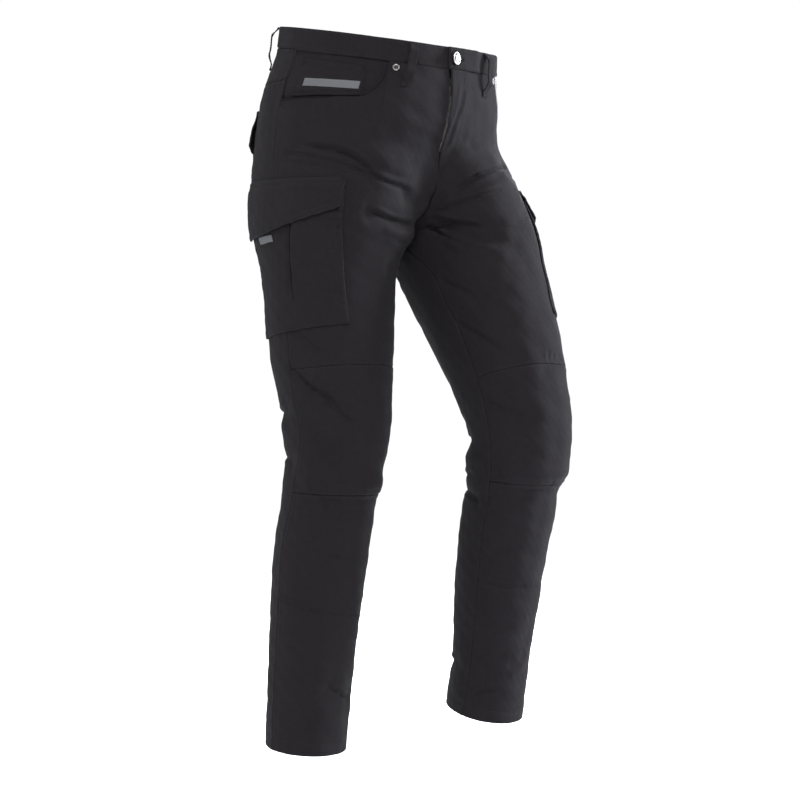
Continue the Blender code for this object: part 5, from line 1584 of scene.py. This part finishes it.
@dataclass(frozen=True)
class FlySize:
    """Sizes of the pieces behind the fly and of the zip."""

    shield_cloth: float = 0.0012
    shield_sink: float = 0.0016
    facing_cloth: float = 0.0009
    facing_drop: float = 0.0010
    tape_cloth: float = 0.0009
    tape_base: float = -0.150
    tooth_pitch: float = 0.0021
    slider_top: float = -0.023
    slider_base: float = -0.033
    slider_lift: float = 0.0014
    slider_thick: float = 0.0027


class Fly:
    """The guard, the facing and the zip behind the fly."""

    def __init__(self, halves: dict[Side, Half], size: FlySize) -> None:
        """Makes each piece's grid."""
        self.right, self.left, self.size = halves[Side.RIGHT], halves[Side.LEFT], size
        self.shield = self.make_shield()
        self.facing = self.make_facing()
        self.tape = self.make_tape()
        self.slider = self.make_slider()
        self.cuts = [self.shield, self.facing, self.tape]

    def make_shield(self) -> Cut:
        """The guard behind the zip, sewn to the right front."""
        x = np.linspace(0.034, -0.012, 21)[None, :]
        z = np.linspace(SIZE.band_seam, SIZE.fly_base, 69)[:, None] - SIZE.seam_gap
        angle = self.right.angle_at(z + 0 * x, x + 0 * z)
        lift = UNDER - self.size.shield_sink * ease(0.033, 0.022, x) + 0 * z
        return Cut.made("fly_shield", self.right, z, angle, lift, self.size.shield_cloth,
                        Edges(PLAIN, PLAIN, PLAIN, PLAIN))

    def make_facing(self) -> Cut:
        """The facing behind the left front's fly edge, rising with it."""
        x = np.linspace(0.0006, 0.034, 17)[None, :]
        z = np.linspace(SIZE.band_seam, SIZE.fly_base, 69)[:, None] - SIZE.seam_gap
        angle = self.left.angle_at(z + 0 * x, x + 0 * z)
        lift = UNDER - self.size.facing_drop + fly_gape(self.left, z + 0 * x, angle)
        return Cut.made("fly_facing", self.left, z, angle, lift, self.size.facing_cloth,
                        Edges(PLAIN, PLAIN, PLAIN, PLAIN))

    def make_tape(self) -> Cut:
        """The zip's closed tape."""
        x = np.linspace(0.021, 0.0004, 17)[None, :]
        z = np.linspace(SIZE.band_seam - 0.002, self.size.tape_base, 65)[:, None]
        angle = self.right.angle_at(z + 0 * x, x + 0 * z)
        return Cut.made("zip_tape", self.right, z, angle, UNDER, self.size.tape_cloth,
                        Edges(PLAIN, PLAIN, PLAIN, PLAIN))

    def teeth(self, metal: bpy.types.Material) -> bpy.types.Object:
        """Two rows of metal teeth that mesh down the middle of the tape."""
        size = self.size
        blocks = []
        for row, x in enumerate((0.0099, 0.0075)):
            z = np.arange(size.slider_base - 0.001 - row * size.tooth_pitch / 2, -0.138, -size.tooth_pitch)
            centre, out = self.right.places(z, self.right.angle_at(z, x + 0.0 * z))
            side = unit(self.right.places(z, self.right.angle_at(z, x + 0.002 + 0.0 * z))[0] - centre)
            up = np.cross(out, side)
            up *= np.sign(up[:, 2:3])
            foot = centre + out * UNDER
            for high, wide, long in ((0.0001, 0.0016, 0.00062), (0.0012, 0.0015, 0.00060), (0.0016, 0.0011, 0.00036)):
                for a, b in ((-1, -1), (1, -1), (1, 1), (-1, 1)):
                    blocks.append(foot + out * high + side * wide * a + up * long * b)
            count = len(z)
        rows, index = [], 0
        for x in range(2):
            rows.append(np.stack(blocks[index:index + 12], axis=1))
            index += 12
        points = np.concatenate(rows)
        one = [(3, 2, 1, 0), (8, 9, 10, 11)]
        for base in (0, 4):
            one += [(base + k, base + (k + 1) % 4, base + 4 + (k + 1) % 4, base + 4 + k) for k in range(4)]
        faces = [tuple(12 * i + k for k in face) for i in range(len(points)) for face in one]
        piece = solid("zip_teeth", points.reshape(-1, 3), faces, metal, sharp=40.0)
        LOG.info("zip_teeth: %d teeth, %d in the last row", len(points), count)
        return piece

    def pull(self, metal: bpy.types.Material) -> bpy.types.Object:
        """The slider's flat pull, hanging down over the chain with a hole in its foot."""
        share = np.linspace(-1.0, 1.0, 13)[None, :]
        down = np.linspace(0.0, 1.0, 25)[:, None]
        half_wide = 0.0013 + 0.0009 * ease(0.1, 0.9, down) * np.sqrt(np.clip(1.0 - ((down - 0.86) / 0.15) ** 4 * (down > 0.86), 0.05, 1))
        x = 0.0084 + share * half_wide
        z = self.size.slider_top - 0.0035 - 0.0200 * down + 0 * share
        angle = self.right.angle_at(z, x)
        lift = 0.0006 + 0.0012 * (1.0 - ease(0.0, 0.3, down)) - 0.0006 * ease(0.3, 1.0, down) + 0 * share
        cut = Cut.made("zip_pull", self.right, z, angle, lift, 0.0007, Edges(PLAIN, PLAIN, PLAIN, PLAIN))
        return cut.shell(metal)

    def make_slider(self) -> Cut:
        """The slider's body at the top of the closed chain."""
        x = np.linspace(0.0114, 0.0046, 9)[None, :]
        z = np.linspace(self.size.slider_top, self.size.slider_base, 9)[:, None]
        angle = self.right.angle_at(z + 0 * x, x + 0 * z)
        return Cut.made("zip_slider", self.right, z, angle, self.size.slider_lift, self.size.slider_thick,
                        Edges(PLAIN, PLAIN, PLAIN, PLAIN))


@dataclass(frozen=True)
class StudSize:
    """Where the button and the rivets stand, and how finely they are turned."""

    button_z: float = 0.0045
    button_x: float = 0.006
    rivet_z: float = -0.0178
    rivet_angle: float = 56.0
    turns: int = 48
    button_lean: tuple[float, float, float] = (0.30, 0.0, 0.0)


# Radius, height and how much painted shade each step takes (under the rim and in the hollows), from the foot to the
# middle of the top
BUTTON_OUTLINE = (
    (0.0, 0.0, 0.5), (0.0048, 0.0, 0.5), (0.0048, 0.0013, 0.5), (0.0052, 0.0016, 0.4), (0.0082, 0.0018, 0.2),
    (0.0088, 0.0022, 0.1), (0.00895, 0.0028, 0.0), (0.0088, 0.0034, 0.0), (0.0082, 0.0038, 0.0),
    (0.0076, 0.0037, 0.2), (0.0071, 0.0033, 0.7), (0.0064, 0.0032, 0.9), (0.0059, 0.0036, 0.5),
    (0.0054, 0.0042, 0.1), (0.0040, 0.0045, 0.1), (0.0018, 0.00458, 0.1), (0.0, 0.0046, 0.1),
)
RIVET_OUTLINE = (
    (0.0, 0.0, 0.5), (0.0045, 0.0, 0.4), (0.00465, 0.0003, 0.2), (0.0044, 0.0007, 0.0), (0.0038, 0.00115, 0.0),
    (0.0031, 0.0013, 0.0), (0.0026, 0.0012, 0.6), (0.0022, 0.0007, 1.0), (0.0015, 0.0006, 1.0),
    (0.0012, 0.0010, 0.9), (0.0008, 0.0013, 0.7), (0.0, 0.0014, 0.7),
)


def turned(name: str, centre: np.ndarray, out: np.ndarray, outline: tuple[tuple[float, float, float], ...], turns: int,
           material: bpy.types.Material) -> bpy.types.Object:
    """A turned metal piece that stands on the cloth.

    Args:
        name: the piece's name.
        centre: the middle of its foot.
        out: the direction it stands in.
        outline: its radius, height and painted shade at each step, foot first.
        turns: how many sides it has.
        material: what it is made of.

    Returns:
        The piece.
    """
    turn = Vector(out).to_track_quat("Z", "Y").to_matrix()
    angle = np.linspace(0.0, 2 * math.pi, turns, endpoint=False)
    rings = [[(r * math.cos(a), r * math.sin(a), h) for a in angle] for r, h, _ in outline[1:-1]]
    local = [(0.0, 0.0, outline[0][1])] + [p for ring in rings for p in ring] + [(0.0, 0.0, outline[-1][1])]
    faces = []
    for k in range(turns):
        n = (k + 1) % turns
        faces.append((0, 1 + n, 1 + k))
        for i in range(len(rings) - 1):
            low, high = 1 + i * turns, 1 + (i + 1) * turns
            faces.append((low + k, low + n, high + n, high + k))
        last = 1 + (len(rings) - 1) * turns
        faces.append((last + k, last + n, len(local) - 1))
    points = [np.array(turn @ Vector(p)) + centre for p in local]
    piece = solid(name, np.array(points), faces, material, sharp=50.0)
    # Painted shade from the outline: dark under the rim and in the hollows.
    painted_shade = piece.data.attributes.new("painted_shade", "FLOAT", "POINT")
    dark = [outline[0][2]] + [step[2] for step in outline[1:-1] for _ in angle] + [outline[-1][2]]
    painted_shade.data.foreach_set("value", np.array(dark, np.float32))
    return piece


def standing(half: Half, z: float, angle: float, lift: float) -> tuple[np.ndarray, np.ndarray]:
    """A place on the cloth raised by lift, and the direction straight out of it."""
    point, out = half.surface(np.array([[z]]), np.array([[angle]]))
    return point[0, 0] + out[0, 0] * lift, out[0, 0]


class Graph:
    """A node tree being built, with a short call for each thing it needs."""

    def __init__(self, tree: bpy.types.NodeTree) -> None:
        """Keeps the tree."""
        self.tree = tree

    def node(self, kind: str, **values: object) -> bpy.types.Node:
        """A node, with its plain settings."""
        made = self.tree.nodes.new(kind)
        for name, value in values.items():
            setattr(made, name, value)
        return made

    def join(self, source: object, target: bpy.types.NodeSocket) -> None:
        """Feeds a socket from another socket, or sets it to a number."""
        if isinstance(source, bpy.types.NodeSocket):
            self.tree.links.new(source, target)
        else:
            target.default_value = source

    def math(self, operation: str, *sources: object, clamp: bool = False) -> bpy.types.NodeSocket:
        """A sum on numbers."""
        made = self.node("ShaderNodeMath", operation=operation, use_clamp=clamp)
        for source, target in zip(sources, made.inputs):
            self.join(source, target)
        return made.outputs[0]

    def scaled(self, place: bpy.types.NodeSocket, size: tuple[float, float, float]) -> bpy.types.NodeSocket:
        """A place stretched along its axes."""
        made = self.node("ShaderNodeVectorMath", operation="MULTIPLY")
        self.join(place, made.inputs[0])
        made.inputs[1].default_value = size
        return made.outputs[0]

    def noise(self, place: bpy.types.NodeSocket, size: float, detail: float = 2.0,
              roughness: float = 0.5) -> bpy.types.NodeSocket:
        """Soft spots of about a size in metres."""
        made = self.node("ShaderNodeTexNoise")
        self.join(place, made.inputs["Vector"])
        made.inputs["Scale"].default_value = 1.0 / size
        made.inputs["Detail"].default_value = detail
        made.inputs["Roughness"].default_value = roughness
        return made.outputs[0]

    def mix(self, share: object, first: object, second: object) -> bpy.types.NodeSocket:
        """A colour between two others."""
        made = self.node("ShaderNodeMix", data_type="RGBA")
        self.join(share, made.inputs[0])
        self.join(first, made.inputs[6])
        self.join(second, made.inputs[7])
        return made.outputs[2]


def node_group(name: str, inputs: dict[str, str], outputs: dict[str, str]) -> tuple[bpy.types.NodeTree, Graph, dict, dict]:
    """A shader node group with named inputs and outputs.

    Args:
        name: the group's name.
        inputs: the kind of each input by name.
        outputs: the kind of each output by name.

    Returns:
        The group, a graph for it, its input sockets and its output sockets.
    """
    tree = bpy.data.node_groups.new(name, "ShaderNodeTree")
    for label, kind in inputs.items():
        tree.interface.new_socket(name=label, in_out="INPUT", socket_type=f"NodeSocket{kind}")
    for label, kind in outputs.items():
        tree.interface.new_socket(name=label, in_out="OUTPUT", socket_type=f"NodeSocket{kind}")
    graph = Graph(tree)
    start, end = graph.node("NodeGroupInput"), graph.node("NodeGroupOutput")
    return (tree, graph, {label: start.outputs[label] for label in inputs},
            {label: end.inputs[label] for label in outputs})


def twill_group() -> bpy.types.NodeTree:
    """The slanted ribs of twill, crossed by its yarns: their height and where they catch light."""
    tree, graph, given, out = node_group("twill weave", {"Cloth place": "Vector", "Pitch": "Float"},
                                         {"Height": "Float", "Light": "Float"})
    parts = graph.node("ShaderNodeSeparateXYZ")
    graph.join(given["Cloth place"], parts.inputs[0])
    turn = graph.math("DIVIDE", 2.0 * math.pi, given["Pitch"])
    wander = graph.math("MULTIPLY", graph.noise(given["Cloth place"], 0.009, 2.0), 2.2)
    slant = graph.math("MULTIPLY", graph.math("MULTIPLY_ADD", parts.outputs[1], 0.55, parts.outputs[0]), turn)
    ribs = graph.math("SINE", graph.math("ADD", slant, wander))
    yarn = graph.math("SINE", graph.math("MULTIPLY", parts.outputs[1], graph.math("MULTIPLY", turn, 2.1)))
    height = graph.math("MULTIPLY_ADD", yarn, 0.22, graph.math("MULTIPLY", ribs, 0.78))
    height = graph.math("MULTIPLY_ADD", height, 0.5, 0.5, clamp=True)
    graph.join(height, out["Height"])
    graph.join(graph.math("POWER", height, 2.2), out["Light"])
    return tree


def nap_group() -> bpy.types.NodeTree:
    """The uneven nap of worn cloth: soft patches, small flecks and short fibres."""
    tree, graph, given, out = node_group("nap", {"Place": "Vector"}, {"Patches": "Float", "Flecks": "Float"})
    patches = graph.math("MULTIPLY_ADD", graph.noise(given["Place"], 0.055, 4.0, 0.62), 1.7, -0.35, clamp=True)
    flecks = graph.noise(graph.scaled(given["Place"], (1.0, 1.0, 0.45)), 0.0022, 3.0, 0.7)
    graph.join(patches, out["Patches"])
    graph.join(graph.math("MULTIPLY_ADD", flecks, 2.6, -0.8, clamp=True), out["Flecks"])
    return tree


def seam_highlight_group() -> bpy.types.NodeTree:
    """A painted highlight along sewn edges and stitch rows, broken up by a fine noise."""
    tree, graph, given, out = node_group("rubbed edge", {"Rub": "Float", "Place": "Vector"}, {"Mask": "Float"})
    broken = graph.math("MULTIPLY_ADD", graph.noise(given["Place"], 0.0035, 3.0, 0.65), 1.6, -0.2, clamp=True)
    graph.join(graph.math("MULTIPLY", given["Rub"], broken, clamp=True), out["Mask"])
    return tree


def scuff_group() -> bpy.types.NodeTree:
    """Fine scratches and dull spots on metal."""
    tree, graph, given, out = node_group("scuffs", {"Place": "Vector"}, {"Scratch": "Float", "Dull": "Float"})
    lines = graph.noise(graph.scaled(given["Place"], (1.0, 7.0, 1.0)), 0.0011, 3.0, 0.7)
    graph.join(graph.math("MULTIPLY_ADD", lines, 3.0, -1.1, clamp=True), out["Scratch"])
    graph.join(graph.noise(given["Place"], 0.0030, 2.0), out["Dull"])
    return tree


@dataclass(frozen=True)
class ClothFinish:
    """The colours and weave of a cloth."""

    name: str
    dark: tuple[float, float, float]
    light: tuple[float, float, float]
    # The paler colour of the painted highlight along sewn edges and stitch rows.
    highlit: tuple[float, float, float]
    pitch: float
    roughness: float
    sheen: float
    relief: float


@dataclass(frozen=True)
class MetalFinish:
    """The colours of a metal."""

    name: str
    bright: tuple[float, float, float]
    dull: tuple[float, float, float]
    roughness: float


SHELL = ClothFinish("charcoal stretch twill", (0.0042, 0.0036, 0.0044), (0.0100, 0.0088, 0.0105),
                    (0.0125, 0.0114, 0.0134), 0.00095, 0.80, 0.008, 0.00024)
LINING = ClothFinish("black facing cloth", (0.0040, 0.0038, 0.0043), (0.0085, 0.0080, 0.0090),
                     (0.017, 0.016, 0.018), 0.00070, 0.88, 0.008, 0.00014)
TAPE = ClothFinish("black zip tape", (0.0050, 0.0050, 0.0055), (0.0130, 0.0130, 0.0140),
                   (0.020, 0.020, 0.021), 0.00120, 0.80, 0.04, 0.00018)
STRIP = ClothFinish("grey woven strip", (0.050, 0.052, 0.056), (0.082, 0.084, 0.090),
                    (0.14, 0.14, 0.145), 0.00060, 0.74, 0.02, 0.00010)
THREAD = ClothFinish("charcoal thread", (0.0046, 0.0041, 0.0049), (0.0120, 0.0108, 0.0126),
                     (0.0140, 0.0130, 0.0150), 0.00034, 0.62, 0.010, 0.00006)
NICKEL = MetalFinish("dark nickel", (0.20, 0.197, 0.193), (0.085, 0.083, 0.080), 0.36)
STEEL = MetalFinish("bright zip metal", (0.36, 0.35, 0.34), (0.17, 0.165, 0.16), 0.30)


class Finishes:
    """The materials, made from shared node groups."""

    def __init__(self) -> None:
        """Makes the node groups, then each material."""
        self.twill, self.nap, self.rub, self.scuffs = twill_group(), nap_group(), seam_highlight_group(), scuff_group()
        self.shell = self.cloth(SHELL)
        self.lining = self.cloth(LINING)
        self.tape = self.cloth(TAPE)
        self.strip = self.cloth(STRIP)
        self.thread = self.cloth(THREAD)
        self.nickel = self.metal(NICKEL)
        self.steel = self.metal(STEEL)
        self.floor = self.pale_floor()

    @staticmethod
    def start(name: str) -> tuple[bpy.types.Material, Graph, bpy.types.Node, bpy.types.NodeSocket]:
        """A material with its shader and the object's own place."""
        material = bpy.data.materials.new(name)
        material.use_nodes = True
        graph = Graph(material.node_tree)
        place = graph.node("ShaderNodeTexCoord").outputs["Object"]
        return material, graph, material.node_tree.nodes["Principled BSDF"], place

    def use(self, graph: Graph, tree: bpy.types.NodeTree, **sources: object) -> bpy.types.NodeOutputs:
        """A group in a material, fed by name with underscores for spaces."""
        made = graph.node("ShaderNodeGroup", node_tree=tree)
        for label, source in sources.items():
            graph.join(source, made.inputs[label.replace("_", " ")])
        return made.outputs

    @staticmethod
    def bump(graph: Graph, shader: bpy.types.Node, height: bpy.types.NodeSocket, distance: float) -> None:
        """Turns a height into the shader's normal."""
        made = graph.node("ShaderNodeBump")
        made.inputs["Strength"].default_value = 0.9
        made.inputs["Distance"].default_value = distance
        graph.join(height, made.inputs["Height"])
        graph.join(made.outputs["Normal"], shader.inputs["Normal"])

    def cloth(self, finish: ClothFinish) -> bpy.types.Material:
        """A woven cloth: ribs, nap, and a painted highlight along its sewn edges and stitch rows, where it is also
        smoother.
        """
        material, graph, shader, place = self.start(finish.name)
        woven = graph.node("ShaderNodeAttribute", attribute_name="weave").outputs["Vector"]
        highlit = graph.node("ShaderNodeAttribute", attribute_name="rub").outputs["Fac"]
        weave_from = place if finish is THREAD else woven
        twill = self.use(graph, self.twill, Cloth_place=weave_from, Pitch=finish.pitch)
        nap = self.use(graph, self.nap, Place=place)
        rub = self.use(graph, self.rub, Rub=highlit, Place=place)
        tone = graph.math("MULTIPLY_ADD", twill["Light"], 0.42, graph.math("MULTIPLY", nap["Flecks"], 0.30))
        tone = graph.math("MULTIPLY_ADD", nap["Patches"], 0.28, tone, clamp=True)
        colour = graph.mix(tone, (*finish.dark, 1.0), (*finish.light, 1.0))
        # Painted highlight: paler colour along sewn edges and stitch rows.
        colour = graph.mix(graph.math("MULTIPLY", rub["Mask"], 0.75), colour, (*finish.highlit, 1.0))
        graph.join(colour, shader.inputs["Base Color"])
        rough = graph.math("MULTIPLY_ADD", nap["Patches"], 0.10, finish.roughness - 0.05)
        graph.join(graph.math("MULTIPLY_ADD", rub["Mask"], -0.10, rough, clamp=True), shader.inputs["Roughness"])
        shader.inputs["Sheen Weight"].default_value = finish.sheen
        shader.inputs["Sheen Roughness"].default_value = 0.45
        shader.inputs["Specular IOR Level"].default_value = 0.05
        height = graph.math("MULTIPLY_ADD", nap["Flecks"], 0.35, twill["Height"])
        self.bump(graph, shader, height, finish.relief)
        return material

    def metal(self, finish: MetalFinish) -> bpy.types.Material:
        """A metal with fine scratches and duller spots, and painted shade under its rims and in its hollows."""
        material, graph, shader, place = self.start(finish.name)
        scuffs = self.use(graph, self.scuffs, Place=place)
        painted_shade = graph.node("ShaderNodeAttribute", attribute_name="painted_shade").outputs["Fac"]
        worn = graph.mix(scuffs["Dull"], (*finish.bright, 1.0), (*finish.dull, 1.0))
        # Painted shade: near black where the outline puts it.
        graph.join(graph.mix(painted_shade, worn, (0.012, 0.012, 0.013, 1.0)), shader.inputs["Base Color"])
        rough = graph.math("MULTIPLY_ADD", scuffs["Dull"], 0.22, finish.roughness - 0.08)
        graph.join(graph.math("MULTIPLY_ADD", scuffs["Scratch"], 0.14, rough), shader.inputs["Roughness"])
        shader.inputs["Metallic"].default_value = 1.0
        self.bump(graph, shader, scuffs["Scratch"], 0.00002)
        return material

    def pale_floor(self) -> bpy.types.Material:
        """A matt pale floor with the faintest mottle."""
        material, graph, shader, place = self.start("pale floor")
        mottle = graph.noise(place, 0.4, 2.0)
        graph.join(graph.mix(mottle, (0.93, 0.935, 0.94, 1.0), (0.96, 0.96, 0.96, 1.0)), shader.inputs["Base Color"])
        shader.inputs["Roughness"].default_value = 0.75
        shader.inputs["Specular IOR Level"].default_value = 0.2
        return material


@dataclass(frozen=True)
class CameraSize:
    """Where the camera stands and how it looks."""

    distance: float = 3.0
    aside: float = 0.0157
    height: float = -0.4927
    lens: float = 94.4
    turn: float = -43.0


class Studio:
    """The floor, the lights and the camera."""

    lamps = (
        ("front key", (-1.3, -2.5, 2.7), 1.1, 230.0, (1.0, 0.98, 0.97)),
        ("left side", (3.0, -1.5, 0.7), 0.9, 340.0, (0.88, 0.93, 1.0)),
        ("behind left", (2.2, 1.8, 1.2), 1.4, 120.0, (0.90, 0.94, 1.0)),
        ("behind right", (-3.0, 1.6, 0.8), 1.4, 70.0, (0.96, 0.97, 1.0)),
    )

    def __init__(self, camera: CameraSize, floor: bpy.types.Material) -> None:
        """Builds all of it."""
        self.camera_size, self.floor = camera, floor
        self.make_floor()
        self.make_lights()
        self.make_camera()

    def make_floor(self) -> None:
        """A plain pale floor well under the hems."""
        bpy.ops.mesh.primitive_plane_add(size=14.0, location=(0.0, 0.0, -1.09))
        floor = bpy.context.object
        floor.name = "floor"
        floor.data.materials.append(self.floor)

    def make_lights(self) -> None:
        """Large soft lights and a pale world."""
        bpy.context.scene.view_settings.view_transform = "Standard"
        world = bpy.data.worlds.new("pale studio")
        bpy.context.scene.world = world
        world.use_nodes = True
        background = world.node_tree.nodes["Background"]
        background.inputs["Color"].default_value = (0.985, 0.99, 1.0, 1.0)
        background.inputs["Strength"].default_value = 1.03
        for name, place, size, power, colour in self.lamps:
            lamp = bpy.data.lights.new(name, "AREA")
            lamp.size, lamp.energy, lamp.color = size, power, colour
            light = bpy.data.objects.new(name, lamp)
            bpy.context.scene.collection.objects.link(light)
            light.location = place
            aim = Vector((0.0, 0.0, -0.45)) - Vector(place)
            light.rotation_euler = aim.to_track_quat("-Z", "Y").to_euler()

    def make_camera(self) -> None:
        """A level camera at the wearer's right front."""
        size = self.camera_size
        turn = math.radians(size.turn)
        right = Vector((math.cos(turn), math.sin(turn), 0.0))
        forward = Vector((-math.sin(turn), math.cos(turn), 0.0))
        lens = bpy.data.cameras.new("camera")
        lens.lens = size.lens
        camera = bpy.data.objects.new("camera", lens)
        bpy.context.scene.collection.objects.link(camera)
        camera.location = right * size.aside - forward * size.distance + Vector((0.0, 0.0, size.height))
        camera.rotation_euler = forward.to_track_quat("-Z", "Y").to_euler()
        bpy.context.scene.camera = camera


class Trousers:
    """The whole garment: each cut piece, stud and the zip's slider hides the part's node whose name it carries and
    stands in for it; stitches, hem turns, allowances, teeth and pull are added beside them.
    """

    def __init__(self, finishes: Finishes) -> None:
        """Builds the garment piece by piece."""
        self.finishes = finishes
        self.halves = {side: Half(side) for side in Side}
        right, left = self.halves[Side.RIGHT], self.halves[Side.LEFT]
        right.other, left.other = left, right
        for source in (right, left):
            lines = [source.line_of(crease) for crease in FOLDS + CREASES if crease.side is source.side]
            right.lines += lines
            left.lines += lines
        self.legs = {side: Leg(half) for side, half in self.halves.items()}
        self.hip_pockets = {side: HipPocket(half, PocketSize()) for side, half in self.halves.items()}
        self.cargo_pockets = {side: CargoPocket(half, CargoSize()) for side, half in self.halves.items()}
        self.seat_pockets = {side: SeatPocket(half, SeatPocketSize()) for side, half in self.halves.items()}
        self.waist = Waist(self.halves, LoopSize())
        self.fly = Fly(self.halves, FlySize())
        self.build_cloth()
        self.build_hems()
        self.build_studs()
        self.build_zip()
        self.sew()

    def finish_of(self, name: str) -> bpy.types.Material:
        """The material of a piece, by its node's name."""
        if name in ("coin_strip", "cargo_tag_right"):
            return self.finishes.strip
        if name == "zip_tape":
            return self.finishes.tape
        if name in ("fly_shield", "fly_facing"):
            return self.finishes.lining
        return self.finishes.shell

    @staticmethod
    def resting(name: str) -> tuple[str, list[str]]:
        """How a piece is held, and the nodes that it lies on or hangs from."""
        side = "right" if name.endswith("right") else "left"
        beneath = {
            "waistband": ["yoke_right", "yoke_left", "front_thigh_right", "front_thigh_left"],
            "coin_pocket": ["pocket_facing_right"],
            "coin_strip": ["coin_pocket"],
            "cargo_tag_right": ["cargo_pocket_right"],
            f"cargo_pocket_{side}": [f"front_thigh_{side}", f"back_{side}"],
            f"cargo_flap_{side}": [f"cargo_pocket_{side}"],
            f"back_pocket_{side}": [f"back_{side}"],
            f"back_flap_{side}": [f"back_pocket_{side}"],
            "fly_shield": ["front_thigh_right"],
            "fly_facing": ["front_thigh_left"],
            "zip_tape": ["fly_shield"],
        }
        above = {
            f"front_thigh_{side}": ["waistband"],
            f"yoke_{side}": ["waistband"],
            f"back_{side}": [f"yoke_{side}"],
            f"knee_{side}": [f"front_thigh_{side}"],
            f"shin_{side}": [f"knee_{side}"],
            f"pocket_facing_{side}": ["waistband"],
        }
        if name in above:
            return "hung", above[name]
        if name.startswith("belt_loop"):
            return "laid", ["waistband"]
        return "laid", beneath[name]

    def build_cloth(self) -> None:
        """Turns every cut piece into a thin wall in place of its node."""
        for group in (*self.legs.values(), *self.hip_pockets.values(), *self.cargo_pockets.values(),
                      *self.seat_pockets.values(), self.waist, self.fly):
            for cut in group.cuts:
                piece = cut.shell(self.finish_of(cut.name))
                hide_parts(cut.name)

    def build_hems(self) -> None:
        """The cloth turned up inside both hems, and the allowances inside the seams."""
        for side, leg in self.legs.items():
            piece = leg.hem_turn(self.finishes.shell)
            for strip in leg.make_allowances():
                piece = strip.shell(self.finishes.shell)
        strip = self.make_rise_allowance()
        piece = strip.shell(self.finishes.shell)

    def make_rise_allowance(self, wide: float = 0.0056) -> Cut:
        """The allowance inside the seam from the band down the seat and round the fork to the fly.

        Args:
            wide: half its width.

        Returns:
            The strip.
        """
        run = np.linspace(1.0, 0.0, 121) ** 2
        points = []
        for top, front in ((SIZE.band_seam - 0.001, False), (-0.182, True)):
            z = SIZE.crotch + (top - SIZE.crotch) * run
            lines = [half.surface(z, half.front_angle(z) if front else half.back_angle(z))[0]
                     for half in self.halves.values()]
            points.append((lines[0] + lines[1]) / 2)
        middle = np.concatenate([points[0], points[1][::-1][1:]])
        ahead = unit(np.gradient(middle, axis=0))
        inward = unit(np.cross(ahead, np.array([1.0, 0.0, 0.0])))
        inward *= np.sign(inward[10] @ np.array([0.0, -1.0, 0.0]))
        across = np.linspace(-wide, wide, 5)[None, :, None] * np.array([1.0, 0.0, 0.0])
        inner_face = middle[:, None] + inward[:, None] * (SIZE.cloth + SIZE.layer_gap + 0.0008) + across
        outer_face = inner_face - inward[:, None] * 0.0006
        length = float(np.linalg.norm(np.diff(middle, axis=0), axis=1).sum())
        out = -inward[:, None] + 0.0 * across
        return Cut("allowance_rise", outer_face, inner_face, out, np.zeros(outer_face.shape[:2]),
                   (2.0 * wide, length, 2.0 * wide * length))

    def build_studs(self) -> None:
        """The rivets at the pocket mouths and the button on the waistband's lap."""
        size = StudSize()
        for side, half in self.halves.items():
            place = standing(half, size.rivet_z, size.rivet_angle, SIZE.layer_gap)
            rivet = turned(f"rivet_{side.word}_piece", *place, RIVET_OUTLINE, size.turns, self.finishes.nickel)
            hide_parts(f"rivet_{side.word}")
        left = self.halves[Side.LEFT]
        lift = SIZE.band_lift + SIZE.band_lap_lift + SIZE.layer_gap
        centre, out = standing(left, size.button_z, float(left.angle_at(0.0, -size.button_x)), lift)
        leaning = unit(out + np.array(size.button_lean))
        button = turned("waist_button_piece", centre, leaning, BUTTON_OUTLINE, size.turns, self.finishes.steel)
        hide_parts("waist_button")

    def build_zip(self) -> None:
        """The zip's teeth, its slider and the slider's pull."""
        slider = self.fly.slider.shell(self.finishes.nickel)
        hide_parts("zip_slider")
        self.fly.pull(self.finishes.nickel)
        self.fly.teeth(self.finishes.steel)

    def sew(self) -> None:
        """The stitches of each sub-assembly, a mesh for each."""
        groups = (("stitches_right_leg", "front_thigh_right", self.legs[Side.RIGHT]),
                  ("stitches_left_leg", "front_thigh_left", self.legs[Side.LEFT]),
                  ("stitches_coin_pocket", "coin_pocket", self.hip_pockets[Side.RIGHT]),
                  ("stitches_cargo_right", "cargo_pocket_right", self.cargo_pockets[Side.RIGHT]),
                  ("stitches_cargo_left", "cargo_pocket_left", self.cargo_pockets[Side.LEFT]),
                  ("stitches_seat_right", "back_pocket_right", self.seat_pockets[Side.RIGHT]),
                  ("stitches_seat_left", "back_pocket_left", self.seat_pockets[Side.LEFT]),
                  ("stitches_waist", "waistband", self.waist))
        for name, slot, group in groups:
            thread = Sewing(name, self.finishes.thread, StitchSize())
            group.sew(thread)
            thread.finish()


def main() -> None:
    """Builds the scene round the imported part."""
    logging.basicConfig(level=logging.INFO, format="%(name)s: %(message)s")
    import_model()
    finishes = Finishes()
    Trousers(finishes)
    Studio(CameraSize(), finishes.floor)


if __name__ == "__main__":
    main()
